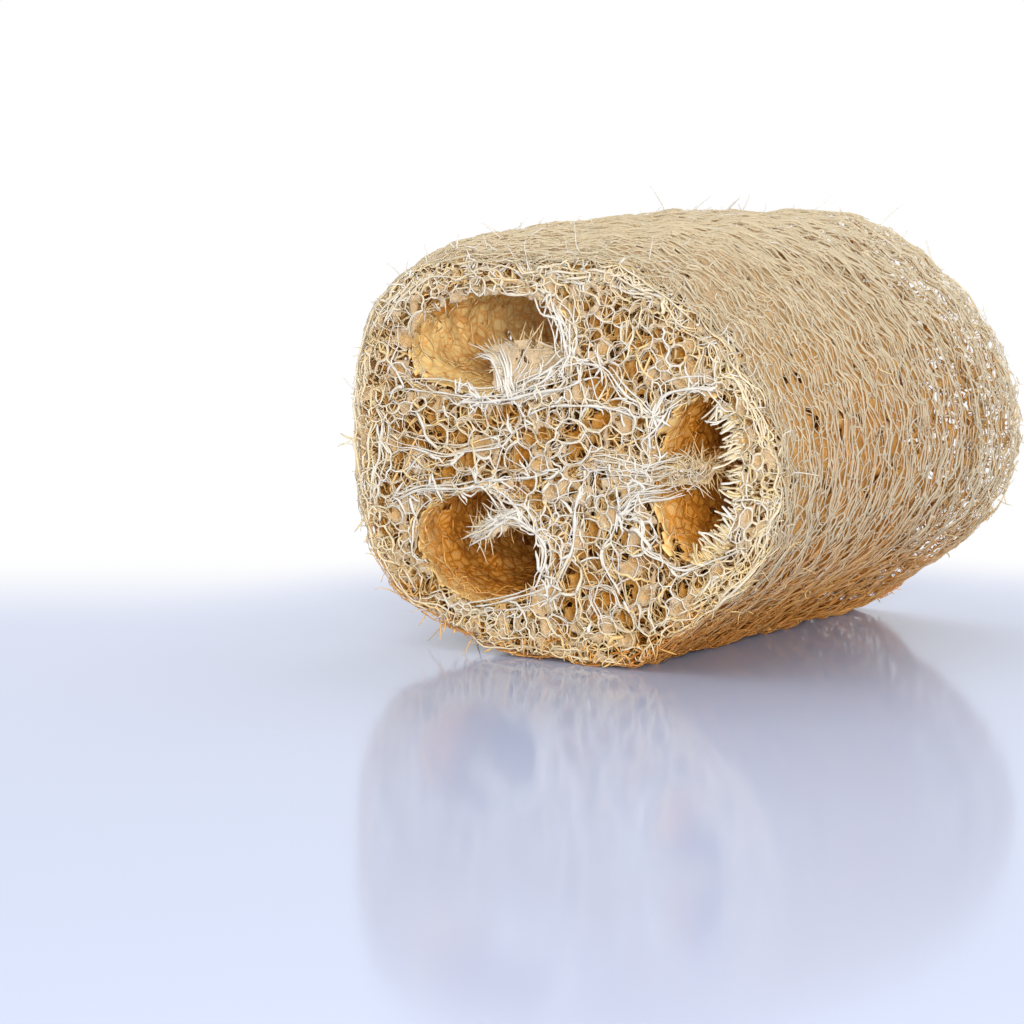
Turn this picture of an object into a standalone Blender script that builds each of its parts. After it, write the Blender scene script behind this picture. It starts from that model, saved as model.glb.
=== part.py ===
"""A natural loofah: a cut length of dried gourd fibre, lying on its side. Metres, +Z up.

The seed channels run along Y and the two cut faces look along -Y and +Y. The origin is on the
surface it lies on, under the middle of its box. Every piece is one layer, web, cord or ridge of
the fibre body, and each keeps CLEARANCE to the pieces that it grows against.
"""

import math
from collections import namedtuple
from functools import cache

import bmesh
import bpy
from mathutils import Vector

# The body
LENGTH = 0.090
MEAN_RADIUS = 0.0438
SWELL = 0.060
SHOULDER_LENGTH = 0.008
FAR_DRAW_IN = 0.20
REST_FLAT_DEPTH = 0.0038
REST_ROUNDING = 0.0015
CLEARANCE = 0.0003

# Waves round the cross-section, each (waves in a turn, height, bearing of its crest in degrees)
Wave = namedtuple("Wave", "count height bearing")
OFF_CENTRE = Wave(1, 0.0020, 142.0)
FLATTENING = Wave(2, 0.0045, -4.4)
LOBES = Wave(3, 0.0013, 20.0)
CORNERS = Wave(5, 0.0016, -5.2)
RIPPLES = Wave(6, 0.0004, 28.0)
SECTION_WAVES = (OFF_CENTRE, FLATTENING, LOBES, CORNERS, RIPPLES)

# The wall, from outside in, and the lining of the channels
HOOP_LAYER = 0.0024
LENGTHWISE_LAYER = 0.0016
WALL_DEPTH = HOOP_LAYER + CLEARANCE + LENGTHWISE_LAYER + CLEARANCE
LINING = 0.0010

# The hub, where the core stands, from the middle of the section
HUB_X = 0.003
HUB_Z = 0.003
CORE_RADIUS = 0.0070
CORD_RADIUS = 0.0013
CORD_COVER = 0.0021

# Half sizes of the seed channels, the webs' least depth behind them, and how far their ridges stand up
UPPER_HALF_WIDTH = 0.0180
UPPER_HALF_HEIGHT = 0.0092
UPPER_BACKING = 0.0010
UPPER_RIDGE = 0.0070
LOWER_HALF_WIDTH = 0.0146
LOWER_HALF_HEIGHT = 0.0103
LOWER_BACKING = 0.0011
LOWER_RIDGE = 0.0110
RIGHT_HALF_WIDTH = 0.0090
RIGHT_HALF_HEIGHT = 0.0150
RIGHT_BACKING = 0.0030
RIGHT_RIDGE = 0.0105
RIDGE_THICKNESS = 0.0024
RIDGE_SETBACK = 0.0020

# Each channel's bearing from the hub, tilt and sizes, and how far its ridge turns from the bearing
Channel = namedtuple("Channel", "name bearing tilt half_width half_height backing ridge ridge_turn")
UPPER = Channel("upper", 136.0, 9.0, UPPER_HALF_WIDTH, UPPER_HALF_HEIGHT, UPPER_BACKING, UPPER_RIDGE, 8.0)
LOWER = Channel("lower", 223.0, -8.0, LOWER_HALF_WIDTH, LOWER_HALF_HEIGHT, LOWER_BACKING, LOWER_RIDGE, -14.0)
RIGHT = Channel("right", 352.5, -8.0, RIGHT_HALF_WIDTH, RIGHT_HALF_HEIGHT, RIGHT_BACKING, RIGHT_RIDGE, 4.0)
CHANNELS = (UPPER, LOWER, RIGHT)
SEPTA = ("left", "bottom", "top")

# Facets, and how far cutters run past the cut faces, as a share of the length
SECTION_POINTS = 60
CHANNEL_POINTS = 28
CORE_POINTS = 30
CORD_POINTS = 12
RIDGE_TIP_POINTS = 5
STATIONS = (0.0, 0.04, 0.1, 0.2, 0.45, 0.75, 0.9, 1.0)
OVERRUN = 0.05

# Colour as sRGB 0 to 1, roughness
Finish = namedtuple("Finish", "colour roughness")
OUTER_FIBRE = Finish((0.90, 0.84, 0.70), 0.75)
WALL_FIBRE = Finish((0.88, 0.79, 0.60), 0.75)
CORE_FIBRE = Finish((0.93, 0.89, 0.80), 0.80)
LINING_FIBRE = Finish((0.84, 0.67, 0.38), 0.60)
CORD_FIBRE = Finish((0.94, 0.91, 0.84), 0.70)


def clear_scene():
    for obj in list(bpy.data.objects):
        bpy.data.objects.remove(obj)


# The cross-section


def turn_angles(points):
    return [math.tau * i / points for i in range(points)]


def turn(point, degrees):
    """The (x, z) point turned about the origin."""
    angle = math.radians(degrees)
    x, z = point
    return (x * math.cos(angle) - z * math.sin(angle), x * math.sin(angle) + z * math.cos(angle))


def swell_at(station):
    """How much larger the body is here than at its front face: it swells behind each cut edge."""
    from_front = station * LENGTH
    from_far = LENGTH - from_front
    front_rise = 1 - math.exp(-from_front / SHOULDER_LENGTH)
    far_fall = 1 - FAR_DRAW_IN * math.exp(-from_far / SHOULDER_LENGTH)
    return 1 + SWELL * front_rise * far_fall


def free_radius(angle):
    """The front face's radius at this angle, before the surface that it lies on flattens it."""
    waves = sum(w.height * math.cos(w.count * (angle - math.radians(w.bearing))) for w in SECTION_WAVES)
    return MEAN_RADIUS + waves


@cache
def lowest_reach():
    """How far the front face would reach below the middle of the section."""
    return max(-free_radius(a) * math.sin(a) for a in turn_angles(SECTION_POINTS))


def middle_height(station):
    """The height of the middle of the section above the surface that the body lies on."""
    return lowest_reach() * swell_at(station) - REST_FLAT_DEPTH


def pressed(height):
    """Where the surface that the body lies on brings a point that would otherwise be this high."""
    if height > REST_ROUNDING:
        return height
    if height < -REST_ROUNDING:
        return 0.0
    return (height + REST_ROUNDING) ** 2 / (4 * REST_ROUNDING)


def body_radius(angle, station):
    """The outer radius at this angle and station, with the underside pressed flat."""
    radius = free_radius(angle) * swell_at(station)
    rise = math.sin(angle)
    height = middle_height(station) + radius * rise
    if height < REST_ROUNDING:
        radius = (pressed(height) - middle_height(station)) / rise
    return radius


def section_ring(depth, station):
    """The (x, z) points of the body's outline, this deep under its surface."""
    ring = []
    for angle in turn_angles(SECTION_POINTS):
        radius = body_radius(angle, station) - depth
        ring.append((radius * math.cos(angle), radius * math.sin(angle) + middle_height(station)))
    return ring


@cache
def centring_shift():
    """What brings the middle of the body's width to X = 0."""
    across = [x for station in STATIONS for x, _ in section_ring(0.0, station)]
    return -(min(across) + max(across)) / 2


# The seed channels


def channel_ring(channel, from_hub):
    """The channel's outline at the front face, from the middle of the section."""
    centre = turn((from_hub, 0.0), channel.bearing)
    ring = []
    for angle in turn_angles(CHANNEL_POINTS):
        across = (channel.half_width * math.cos(angle), channel.half_height * math.sin(angle))
        x, z = turn(across, channel.tilt)
        ring.append((HUB_X + centre[0] + x, HUB_Z + centre[1] + z))
    return ring


def grown(ring, distance):
    """A closed outline moved outwards by this distance, square to itself."""
    moved = []
    for i, (x, z) in enumerate(ring):
        before, after = ring[i - 1], ring[(i + 1) % len(ring)]
        along = Vector((after[0] - before[0], after[1] - before[1])).normalized()
        moved.append((x + along.y * distance, z - along.x * distance))
    return moved


@cache
def channel_distance(channel):
    """How far from the hub the channel lies: where its lining leaves only the backing to the wall."""
    around = LINING + CLEARANCE + channel.backing + WALL_DEPTH
    near, far = 0.0, MEAN_RADIUS
    while far - near > 1e-6:
        middle = (near + far) / 2
        ring = grown(channel_ring(channel, middle), around)
        fits = all(math.hypot(x, z) < body_radius(math.atan2(z, x), 0.0) for x, z in ring)
        near, far = (middle, far) if fits else (near, middle)
    return near


def channel_rings(channel, grow):
    """The channel's outline at each station, moved outwards by this much."""
    front = channel_ring(channel, channel_distance(channel))
    rings = []
    for station in STATIONS:
        scale = swell_at(station)
        height = middle_height(station)
        rings.append((station, grown([(x * scale, height + z * scale) for x, z in front], grow)))
    return rings


def channel_inner_edge(channel):
    """How far from the hub the channel begins, along its own bearing."""
    ring = channel_ring(channel, channel_distance(channel))
    from_hub = [turn((x - HUB_X, z - HUB_Z), -channel.bearing) for x, z in ring]
    edge = 0.0
    for (x, z), (next_x, next_z) in zip(from_hub, from_hub[1:] + from_hub[:1]):
        if z * next_z <= 0 and (not edge or x < edge):
            edge = x + (next_x - x) * z / (z - next_z)
    return edge


# Meshes


def y_at(station):
    return (station - 0.5) * LENGTH


def add_ring(mesh, station, points):
    shift = centring_shift()
    return [mesh.verts.new((x + shift, y_at(station), z)) for x, z in points]


def bridge(mesh, first, second):
    """Quads between two rings. The rings run anticlockwise seen from the front face."""
    for i in range(len(first)):
        j = (i + 1) % len(first)
        mesh.faces.new((first[i], first[j], second[j], second[i]))


def finished(name, mesh, finish):
    """The mesh as a named object with its own material, shaded smooth but for its cut edges."""
    bmesh.ops.recalc_face_normals(mesh, faces=mesh.faces)
    data = bpy.data.meshes.new(name)
    mesh.to_mesh(data)
    mesh.free()
    obj = bpy.data.objects.new(name, data)
    bpy.context.scene.collection.objects.link(obj)
    if finish:
        data.materials.append(material(name, finish))
        data.shade_smooth()
        data.set_sharp_from_angle(angle=math.radians(40))
    return obj


def solid_loft(name, rings, finish=None):
    """A closed solid through rings of (station, points), with flat ends."""
    mesh = bmesh.new()
    loops = [add_ring(mesh, station, points) for station, points in rings]
    for first, second in zip(loops, loops[1:]):
        bridge(mesh, first, second)
    mesh.faces.new(loops[0])
    mesh.faces.new(loops[-1])
    return finished(name, mesh, finish)


def tube_loft(name, outer_rings, inner_rings, finish):
    """A tube between two sets of rings with the same stations, open at both ends."""
    mesh = bmesh.new()
    outer = [add_ring(mesh, station, points) for station, points in outer_rings]
    inner = [add_ring(mesh, station, points) for station, points in inner_rings]
    for loops in (outer, inner):
        for first, second in zip(loops, loops[1:]):
            bridge(mesh, first, second)
    bridge(mesh, outer[0], inner[0])
    bridge(mesh, outer[-1], inner[-1])
    return finished(name, mesh, finish)


def material(name, finish):
    made = bpy.data.materials.new(name)
    made.use_nodes = True
    shader = made.node_tree.nodes["Principled BSDF"]
    shader.inputs["Base Color"].default_value = (*[linear(c) for c in finish.colour], 1.0)
    shader.inputs["Roughness"].default_value = finish.roughness
    shader.inputs["Metallic"].default_value = 0.0
    return made


def linear(channel):
    return channel / 12.92 if channel <= 0.04045 else ((channel + 0.055) / 1.055) ** 2.4


def helper(obj):
    """A solid that only cuts others."""
    obj.hide_render = True
    obj.display_type = "WIRE"
    return obj


def combine(obj, other, operation):
    modifier = obj.modifiers.new(operation.lower() + "_" + other.name, "BOOLEAN")
    modifier.object = other
    modifier.operation = operation


# The pieces


def layer_rings(depth):
    """The body's outline at each station, this deep under its surface."""
    return [(station, section_ring(depth, station)) for station in STATIONS]


def overrun(rings):
    """The rings with their ends carried past the cut faces, for a clean cut."""
    return [(-OVERRUN, rings[0][1]), *rings, (1 + OVERRUN, rings[-1][1])]


def hub_at(station):
    scale = swell_at(station)
    return (HUB_X * scale, HUB_Z * scale + middle_height(station))


def round_rings(radius, from_hub, points):
    """A circle at each station, this far from the hub."""
    rings = []
    for station in STATIONS:
        hub_x, hub_z = hub_at(station)
        x, z = hub_x + from_hub[0], hub_z + from_hub[1]
        circle = [(x + radius * math.cos(a), z + radius * math.sin(a)) for a in turn_angles(points)]
        rings.append((station, circle))
    return rings


def make_wall():
    """The hoop layer, whose fibres run round the body, on the layer whose fibres run along it."""
    tube_loft("hoop_fibre_layer", layer_rings(0.0), layer_rings(HOOP_LAYER), OUTER_FIBRE)
    outer = layer_rings(HOOP_LAYER + CLEARANCE)
    inner = layer_rings(WALL_DEPTH - CLEARANCE)
    tube_loft("lengthwise_fibre_layer", outer, inner, WALL_FIBRE)


def make_linings():
    """The thin skin of fine cells round each seed channel."""
    for channel in CHANNELS:
        outer = channel_rings(channel, LINING)
        inner = channel_rings(channel, 0.0)
        tube_loft("channel_lining_" + channel.name, outer, inner, LINING_FIBRE)


def lining_cutters():
    """The linings with their clearance, to be taken out of what surrounds them."""
    cutters = []
    for channel in CHANNELS:
        rings = channel_rings(channel, LINING + CLEARANCE)
        cutters.append(helper(solid_loft("cut_for_lining_" + channel.name, overrun(rings))))
    return cutters


def webs():
    """Each web between two channels: its name, and the bearings that it lies between."""
    bearings = [channel.bearing for channel in CHANNELS]
    following = bearings[1:] + [bearings[0] + 360.0]
    return list(zip(SEPTA, bearings, following))


def make_core(cutters):
    """The spongy column at the hub, and the thick cords of fibre that run along inside it."""
    core = solid_loft("core_column", round_rings(CORE_RADIUS, (0.0, 0.0), CORE_POINTS), CORE_FIBRE)
    for cutter in cutters:
        combine(core, cutter, "DIFFERENCE")
    from_hub = CORE_RADIUS - CORD_COVER - CORD_RADIUS
    for name, first, second in webs():
        offset = turn((from_hub, 0.0), (first + second) / 2)
        solid_loft("axial_cord_" + name, round_rings(CORD_RADIUS, offset, CORD_POINTS), CORD_FIBRE)
        bore = round_rings(CORD_RADIUS + CLEARANCE, offset, CORD_POINTS)
        combine(core, helper(solid_loft("cut_for_cord_" + name, overrun(bore))), "DIFFERENCE")


def wedge_rings(first, second):
    """A wedge from the hub between two bearings, past the wall, half a CLEARANCE in at each side."""
    reach = 3 * MEAN_RADIUS
    middle = (first + second) / 2
    setback = CLEARANCE / 2 / math.sin(math.radians(second - first) / 2)
    corner_x, corner_z = turn((setback, 0.0), middle)
    rings = []
    for station in STATIONS:
        hub_x, hub_z = hub_at(station)
        x, z = hub_x + corner_x, hub_z + corner_z
        spokes = [turn((reach, 0.0), bearing) for bearing in (first, middle, second)]
        rings.append((station, [(x, z)] + [(x + spoke_x, z + spoke_z) for spoke_x, spoke_z in spokes]))
    return rings


def make_septa(cutters):
    """The spongy webs between the channels, each spreading along the wall behind two linings."""
    hub_rings = round_rings(CORE_RADIUS + CLEARANCE, (0.0, 0.0), CORE_POINTS)
    hub_cutter = helper(solid_loft("cut_for_core", overrun(hub_rings)))
    for name, first, second in webs():
        septum = solid_loft("septum_" + name, layer_rings(WALL_DEPTH), CORE_FIBRE)
        wedge = helper(solid_loft("wedge_of_septum_" + name, overrun(wedge_rings(first, second))))
        combine(septum, wedge, "INTERSECT")
        for cutter in [hub_cutter, *cutters]:
            combine(septum, cutter, "DIFFERENCE")


def ridge_profile(channel):
    """The ridge's outline from its root inside the lining: flat sides and a round tip."""
    half = RIDGE_THICKNESS / 2
    tip_middle = channel.ridge - half
    steps = [i / (RIDGE_TIP_POINTS - 1) for i in range(RIDGE_TIP_POINTS)]
    tip = [turn((half, 0.0), 180 * step - 90) for step in steps]
    return [(-LINING, -half), *[(tip_middle + x, z) for x, z in tip], (-LINING, half)]


def ridge_rings(channel):
    """The ridge at each station: its ends stand back from the two cut faces."""
    setback = RIDGE_SETBACK / LENGTH
    between = [station for station in STATIONS if setback < station < 1 - setback]
    rings = []
    for station in [setback, *between, 1 - setback]:
        hub_x, hub_z = hub_at(station)
        edge = channel_inner_edge(channel) * swell_at(station)
        points = []
        for point in ridge_profile(channel):
            x, z = turn(point, channel.ridge_turn)
            x, z = turn((edge + x, z), channel.bearing)
            points.append((hub_x + x, hub_z + z))
        rings.append((station, points))
    return rings


def make_ridges():
    """The tongues that the seeds hung from, each on the hub side of its channel's lining."""
    for channel in CHANNELS:
        ridge = solid_loft("seed_ridge_" + channel.name, ridge_rings(channel), CORD_FIBRE)
        space = helper(solid_loft("space_in_" + channel.name, overrun(channel_rings(channel, -CLEARANCE))))
        combine(ridge, space, "INTERSECT")


def main():
    clear_scene()
    make_wall()
    make_linings()
    cutters = lining_cutters()
    make_core(cutters)
    make_septa(cutters)
    make_ridges()


main()
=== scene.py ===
import math
from collections import namedtuple
from functools import partial

import bpy
import numpy as np
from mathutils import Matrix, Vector
from mathutils.geometry import delaunay_2d_cdt
from mathutils.kdtree import KDTree


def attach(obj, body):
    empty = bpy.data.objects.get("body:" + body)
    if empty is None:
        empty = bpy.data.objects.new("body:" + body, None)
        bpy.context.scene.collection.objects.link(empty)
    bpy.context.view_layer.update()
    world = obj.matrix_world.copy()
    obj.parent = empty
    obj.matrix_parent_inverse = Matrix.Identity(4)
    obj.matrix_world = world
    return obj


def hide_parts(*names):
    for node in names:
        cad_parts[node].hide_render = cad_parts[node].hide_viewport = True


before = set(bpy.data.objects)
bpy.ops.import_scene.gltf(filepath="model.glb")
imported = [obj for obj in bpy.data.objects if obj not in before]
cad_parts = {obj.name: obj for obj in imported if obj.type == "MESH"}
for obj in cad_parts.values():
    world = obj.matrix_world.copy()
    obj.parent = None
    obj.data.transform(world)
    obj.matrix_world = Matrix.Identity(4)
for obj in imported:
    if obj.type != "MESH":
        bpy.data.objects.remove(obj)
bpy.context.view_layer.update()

bl_info = {
    "name": "Natural loofah",
    "version": (1, 0, 0),
    "blender": (4, 5, 0),
    "location": "3D Viewport > Sidebar > Loofah",
    "description": "Grows the fibre nets of a cut length of loofah on its packed frame",
    "category": "Add Mesh",
}

MM = 0.001

# The body, as in the part: sizes in metres, bearings in degrees
LENGTH = 0.090
MEAN_RADIUS = 0.0438
SWELL = 0.060
SHOULDER_LENGTH = 0.008
FAR_DRAW_IN = 0.20
REST_FLAT_DEPTH = 0.0038
REST_ROUNDING = 0.0015
LOWEST_REACH = 0.04045
CENTRING_SHIFT = -0.00046
# The height of the section's middle at the front face
FRONT_MIDDLE = LOWEST_REACH - REST_FLAT_DEPTH
WALL_DEPTH = 0.0046
HUB = (0.003, 0.003)
CORE_RADIUS = 0.0070
CORD_FROM_HUB = 0.0036
CORD_RADIUS = 0.0013

# How far along the body a hoop fibre strays to either side as it goes round
WALL_SLANT = 0.005

# Waves round the section: count in a turn, height, bearing of the crest
SECTION_WAVES = (
    (1, 0.0020, 142.0),
    (2, 0.0045, -4.4),
    (3, 0.0013, 20.0),
    (5, 0.0016, -5.2),
    (6, 0.0004, 28.0),
)

Channel = namedtuple(
    "Channel", "name bearing tilt half_width half_height from_hub edge ridge ridge_turn amber"
)
# The amber column is how amber each channel's lining and felt grow: partly their own colour, partly painted
# light and shade. The upper channel is painted paler, for the light that comes through the thin wall over
# it, and the lower and right ones browner, for the shade deep in them
CHANNELS = (
    Channel("upper", 136.0, 9.0, 0.0180, 0.0092, 0.02752, 0.01683, 0.0070, 8.0, 0.46),
    Channel("lower", 223.0, -8.0, 0.0146, 0.0103, 0.02887, 0.01742, 0.0110, -14.0, 1.02),
    Channel("right", 352.5, -8.0, 0.0090, 0.0150, 0.02648, 0.01749, 0.0105, 4.0, 1.22),
)
SEPTA = (("left", 136.0, 223.0), ("bottom", 223.0, 352.5), ("top", 352.5, 496.0))

# Open pits in the cut faces: x, z and radius in millimetres. Fibres stand close round each, out to this
# many times its radius. The far face is hidden in the photograph, so it repeats the front one
PIT_REACH = 1.9
PITS = (
    (-28.5, 41.5, 1.8), (-23.2, 40.4, 1.6), (-35.5, 39.3, 1.4), (-11.7, 46.9, 1.5), (-8.3, 42.9, 1.3),
    (-21.6, 36.7, 1.8), (-9.7, 37.9, 2.0), (-27.1, 33.8, 1.6), (-3.4, 42.7, 1.6), (1.6, 43.8, 1.6),
    (6.5, 54.0, 2.0), (7.1, 46.6, 2.0), (2.5, 40.6, 1.5), (-0.6, 37.6, 1.5), (-4.9, 34.7, 1.4),
    (7.8, 35.2, 1.9), (-9.9, 31.4, 1.2), (-31.3, 45.2, 1.3), (-40.5, 30.4, 1.2), (-2.0, 18.9, 1.6),
    (2.1, 16.6, 1.6), (14.6, 15.3, 1.7), (1.0, 10.6, 1.8), (13.9, 9.4, 1.6), (13.0, 25.3, 1.5),
    (11.8, 31.6, 1.2), (6.8, 20.3, 1.7), (17.8, 21.2, 1.3), (9.0, 12.9, 1.6), (21.2, 11.2, 1.3),
    (17.7, 62.2, 1.4), (11.1, 63.7, 1.4), (24.6, 59.8, 1.2), (6.7, 61.6, 1.2), (11.6, 50.7, 1.2),
    (14.4, 56.1, 1.4), (-41.4, 41.4, 1.2), (-38.6, 35.4, 1.1), (5.4, 26.0, 1.5), (-6.0, 29.5, 1.2),
    (26.5, 16.5, 1.2), (2.0, 66.5, 1.3),
)
# Thick white fibres on the cut faces, as (x, z) places in millimetres on the front one
TRUNKS = (
    (
        (-41.5, 47.0), (-35.5, 49.6), (-29.6, 49.2), (-23.8, 48.7), (-18.1, 48.6), (-12.2, 49.4),
        (-5.6, 51.6), (1.1, 54.0), (8.9, 56.1),
    ),
    ((-27.0, 47.5), (-18.5, 47.6), (-12.2, 48.6), (-4.5, 50.9), (4.0, 53.4)),
    ((-3.6, 69.4), (-1.6, 65.2), (-0.2, 61.2), (0.7, 58.2)),
    ((-2.4, 69.4), (-0.6, 65.0), (1.0, 60.5), (2.0, 57.4)),
    ((8.9, 56.8), (3.1, 58.0), (0.4, 57.6), (-2.5, 55.4), (-6.3, 52.9), (-10.1, 51.1)),
    (
        (-42.8, 26.6), (-38.6, 28.7), (-30.8, 30.8), (-23.9, 31.7), (-18.6, 32.3), (-15.8, 30.4),
        (-12.9, 25.9),
    ),
    ((-41.4, 25.2), (-35.0, 29.0), (-27.8, 31.0), (-19.3, 32.4)),
    ((-19.3, 33.0), (-13.0, 31.6), (-9.4, 28.0), (-7.2, 25.7)),
    ((-14.0, 26.0), (-9.4, 26.3), (-6.0, 25.2), (-4.2, 22.8), (-3.6, 19.0), (-4.2, 15.5), (-6.4, 12.6)),
    ((-13.0, 25.2), (-8.9, 25.6), (-5.8, 24.2), (-4.6, 21.0), (-4.4, 17.0)),
    ((-20.9, 8.9), (-13.6, 10.6), (-6.7, 12.0), (-2.6, 14.1)),
    ((-8.1, 45.6), (-11.3, 42.3), (-14.2, 39.7), (-22.3, 38.0), (-30.6, 37.2), (-41.4, 39.5)),
    ((-43.2, 48.6), (-40.9, 41.5), (-42.9, 33.5), (-43.6, 27.6)),
    ((5.4, 39.4), (11.2, 38.5), (16.9, 38.1), (19.5, 38.0)),
    ((13.0, 29.4), (17.3, 32.9), (19.0, 34.4)),
    ((19.6, 41.5), (19.6, 47.9), (22.3, 51.4), (28.1, 54.0), (33.5, 53.4)),
    ((19.9, 47.9), (15.2, 51.2), (8.9, 56.1)),
    ((13.0, 29.4), (17.0, 28.6), (18.6, 22.0), (24.0, 20.0), (31.5, 20.6), (39.0, 25.2)),
    ((5.4, 39.4), (4.0, 33.8), (3.0, 27.9), (2.4, 21.0), (-3.1, 12.2)),
    ((0.0, 36.7), (-7.4, 34.6), (-14.0, 33.4), (-19.3, 33.0)),
    ((-19.3, 45.8), (-18.4, 48.6)),
    ((-7.9, 46.0), (-1.4, 48.4), (6.0, 49.4), (13.0, 47.6), (19.9, 47.9)),
    ((13.5, 13.3), (9.0, 20.4), (13.0, 29.4)),
)
# The frayed tongues at the channels' mouths: a path in millimetres on the front face, how many fibres,
# and in millimetres how far they lie apart along it and how much further at its tip
TONGUES = (
    (((-13.8, 49.8), (-14.2, 53.0), (-15.8, 55.8), (-19.7, 57.2)), 12, 0.4, 0.3),
    (((-11.5, 49.6), (-12.4, 52.6), (-12.6, 55.6), (-14.6, 59.6)), 8, 0.45, 0.35),
    (((-10.2, 49.6), (-9.2, 52.1), (-8.0, 55.1), (-7.5, 58.0)), 10, 1.5, 0.9),
    (((-10.6, 27.4), (-14.0, 25.6), (-17.4, 23.7), (-20.9, 22.0)), 26, 0.65, 0.2),
    (((6.7, 38.4), (13.4, 37.9), (19.9, 38.3), (26.0, 39.0)), 12, 0.8, 0.6),
    (((13.0, 30.2), (16.0, 32.9), (21.1, 34.6), (27.8, 35.6)), 12, 0.8, 0.6),
    (((11.0, 33.6), (16.0, 34.8), (21.1, 36.4), (26.0, 37.2)), 16, 1.4, 0.9),
)
Veil = namedtuple("Veil", "lower upper deep amber")
# The thin veils of those tongues, by channel: the lower and the upper edge on the front face in
# millimetres, how deep in from the cut they lie along the way, and how amber they are at the root
VEILS = {
    "upper": Veil(
        ((-15.0, 49.6), (-12.0, 50.2), (-8.0, 51.4), (-4.0, 53.0), (0.0, 56.0)),
        ((-18.6, 57.0), (-13.2, 58.4), (-8.4, 58.8), (-4.4, 58.0), (0.2, 58.6)),
        (0.8, 1.2, 2.0, 2.6, 2.0),
        0.02,
    ),
    "lower": Veil(
        ((-8.5, 24.6), (-12.0, 24.0), (-15.4, 22.8), (-18.2, 21.6), (-20.6, 20.8)),
        ((-9.5, 28.6), (-12.6, 27.2), (-16.0, 25.4), (-18.8, 24.0), (-21.0, 22.8)),
        (0.9, 0.8, 0.8, 0.9, 1.2),
        -0.05,
    ),
    "right": Veil(
        ((8.0, 33.0), (13.0, 32.0), (18.5, 33.8), (24.0, 34.8), (30.5, 35.4)),
        ((7.0, 38.8), (13.0, 38.2), (19.0, 38.6), (25.0, 39.0), (31.0, 38.4)),
        (1.4, 1.4, 2.0, 3.2, 5.0),
        0.0,
    ),
}


# Places on and in the body


def turned(x, z, degrees):
    angle = math.radians(degrees)
    return x * math.cos(angle) - z * math.sin(angle), x * math.sin(angle) + z * math.cos(angle)


def swell_at(y):
    """How much larger the body is here than at its front face."""
    from_front = y + LENGTH / 2
    from_far = LENGTH / 2 - y
    far_fall = 1 - FAR_DRAW_IN * np.exp(-from_far / SHOULDER_LENGTH)
    return 1 + SWELL * (1 - np.exp(-from_front / SHOULDER_LENGTH)) * far_fall


def middle_height(y):
    return LOWEST_REACH * swell_at(y) - REST_FLAT_DEPTH


def body_radius(angle, y):
    """The outer radius at this angle, with the underside pressed flat."""
    waves = sum(h * np.cos(n * (angle - math.radians(b))) for n, h, b in SECTION_WAVES)
    radius = (MEAN_RADIUS + waves) * swell_at(y)
    rise = np.sin(angle)
    height = middle_height(y) + radius * rise
    low = height < REST_ROUNDING
    rounded = (np.maximum(height + REST_ROUNDING, 0.0)) ** 2 / (4 * REST_ROUNDING)
    return np.where(low, (rounded - middle_height(y)) / np.where(low, rise, 1.0), radius)


def points_at(x, y, z):
    """Points from their coordinates, of which y may be one value for all."""
    return np.stack([x, y + 0 * x, z], axis=1)


def unit(vectors):
    """The same headings, each of length 1."""
    return vectors / np.linalg.norm(vectors, axis=1)[:, None]


def on_body(angle, y, depth):
    """Points this deep under the body's surface."""
    radius = body_radius(angle, y) - depth
    x = radius * np.cos(angle) + CENTRING_SHIFT
    return points_at(x, y, radius * np.sin(angle) + middle_height(y))


def outward_from(angle, y):
    """The headings straight out from the body's middle line."""
    return on_body(angle, y, 0 * angle - 1.0) - on_body(angle, y, 0 * angle)


def depth_under(points):
    """How deep each point lies under the body's surface."""
    x = points[:, 0] - CENTRING_SHIFT
    z = points[:, 2] - middle_height(points[:, 1])
    return body_radius(np.arctan2(z, x), points[:, 1]) - np.hypot(x, z)


def depth_from_cut(points):
    """How far in from the nearer cut face each point lies."""
    return LENGTH / 2 - np.abs(points[:, 1])


def towards_far_end(y):
    """0 in the front half, rising to 1 at the far cut face."""
    return np.clip(y / (LENGTH / 2), 0, 1)


def on_face(x, z, y):
    """Points in the section at y, from their places on the front face."""
    scale = swell_at(y)
    x = (x - CENTRING_SHIFT) * scale + CENTRING_SHIFT
    return points_at(x, y, (z - FRONT_MIDDLE) * scale + middle_height(y))


def back_on_face(points):
    """The places on the front face, x and z, that on_face takes to these points."""
    scale = swell_at(points[:, 1])
    x = (points[:, 0] - CENTRING_SHIFT) / scale + CENTRING_SHIFT
    return x, (points[:, 2] - middle_height(points[:, 1])) / scale + FRONT_MIDDLE


def channel_middle(channel):
    x, z = turned(channel.from_hub, 0.0, channel.bearing)
    return HUB[0] + x, HUB[1] + z


def on_channel(channel, angle, y, grow):
    """Points on the channel's wall, moved out of the channel by this much."""
    across, up = np.cos(angle), np.sin(angle)
    out_x, out_z = across / channel.half_width, up / channel.half_height
    size = np.hypot(out_x, out_z)
    scale = swell_at(y)
    x, z = turned(channel.half_width * across, channel.half_height * up, channel.tilt)
    out_x, out_z = turned(out_x / size, out_z / size, channel.tilt)
    middle_x, middle_z = channel_middle(channel)
    x = (middle_x + x) * scale + out_x * grow + CENTRING_SHIFT
    z = (middle_z + z) * scale + out_z * grow + middle_height(y)
    return points_at(x, y, z)


def in_channel(channel, points, grow):
    scale = swell_at(points[:, 1])
    middle_x, middle_z = channel_middle(channel)
    x = (points[:, 0] - CENTRING_SHIFT) / scale - middle_x
    z = (points[:, 2] - middle_height(points[:, 1])) / scale - middle_z
    x, z = turned(x, z, -channel.tilt)
    return np.hypot(x / (channel.half_width + grow), z / (channel.half_height + grow)) < 1


def clear_of_channels(points, grow):
    """Which points lie in no channel, nor this close to one."""
    return ~np.any([in_channel(channel, points, grow) for channel in CHANNELS], axis=0)


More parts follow.
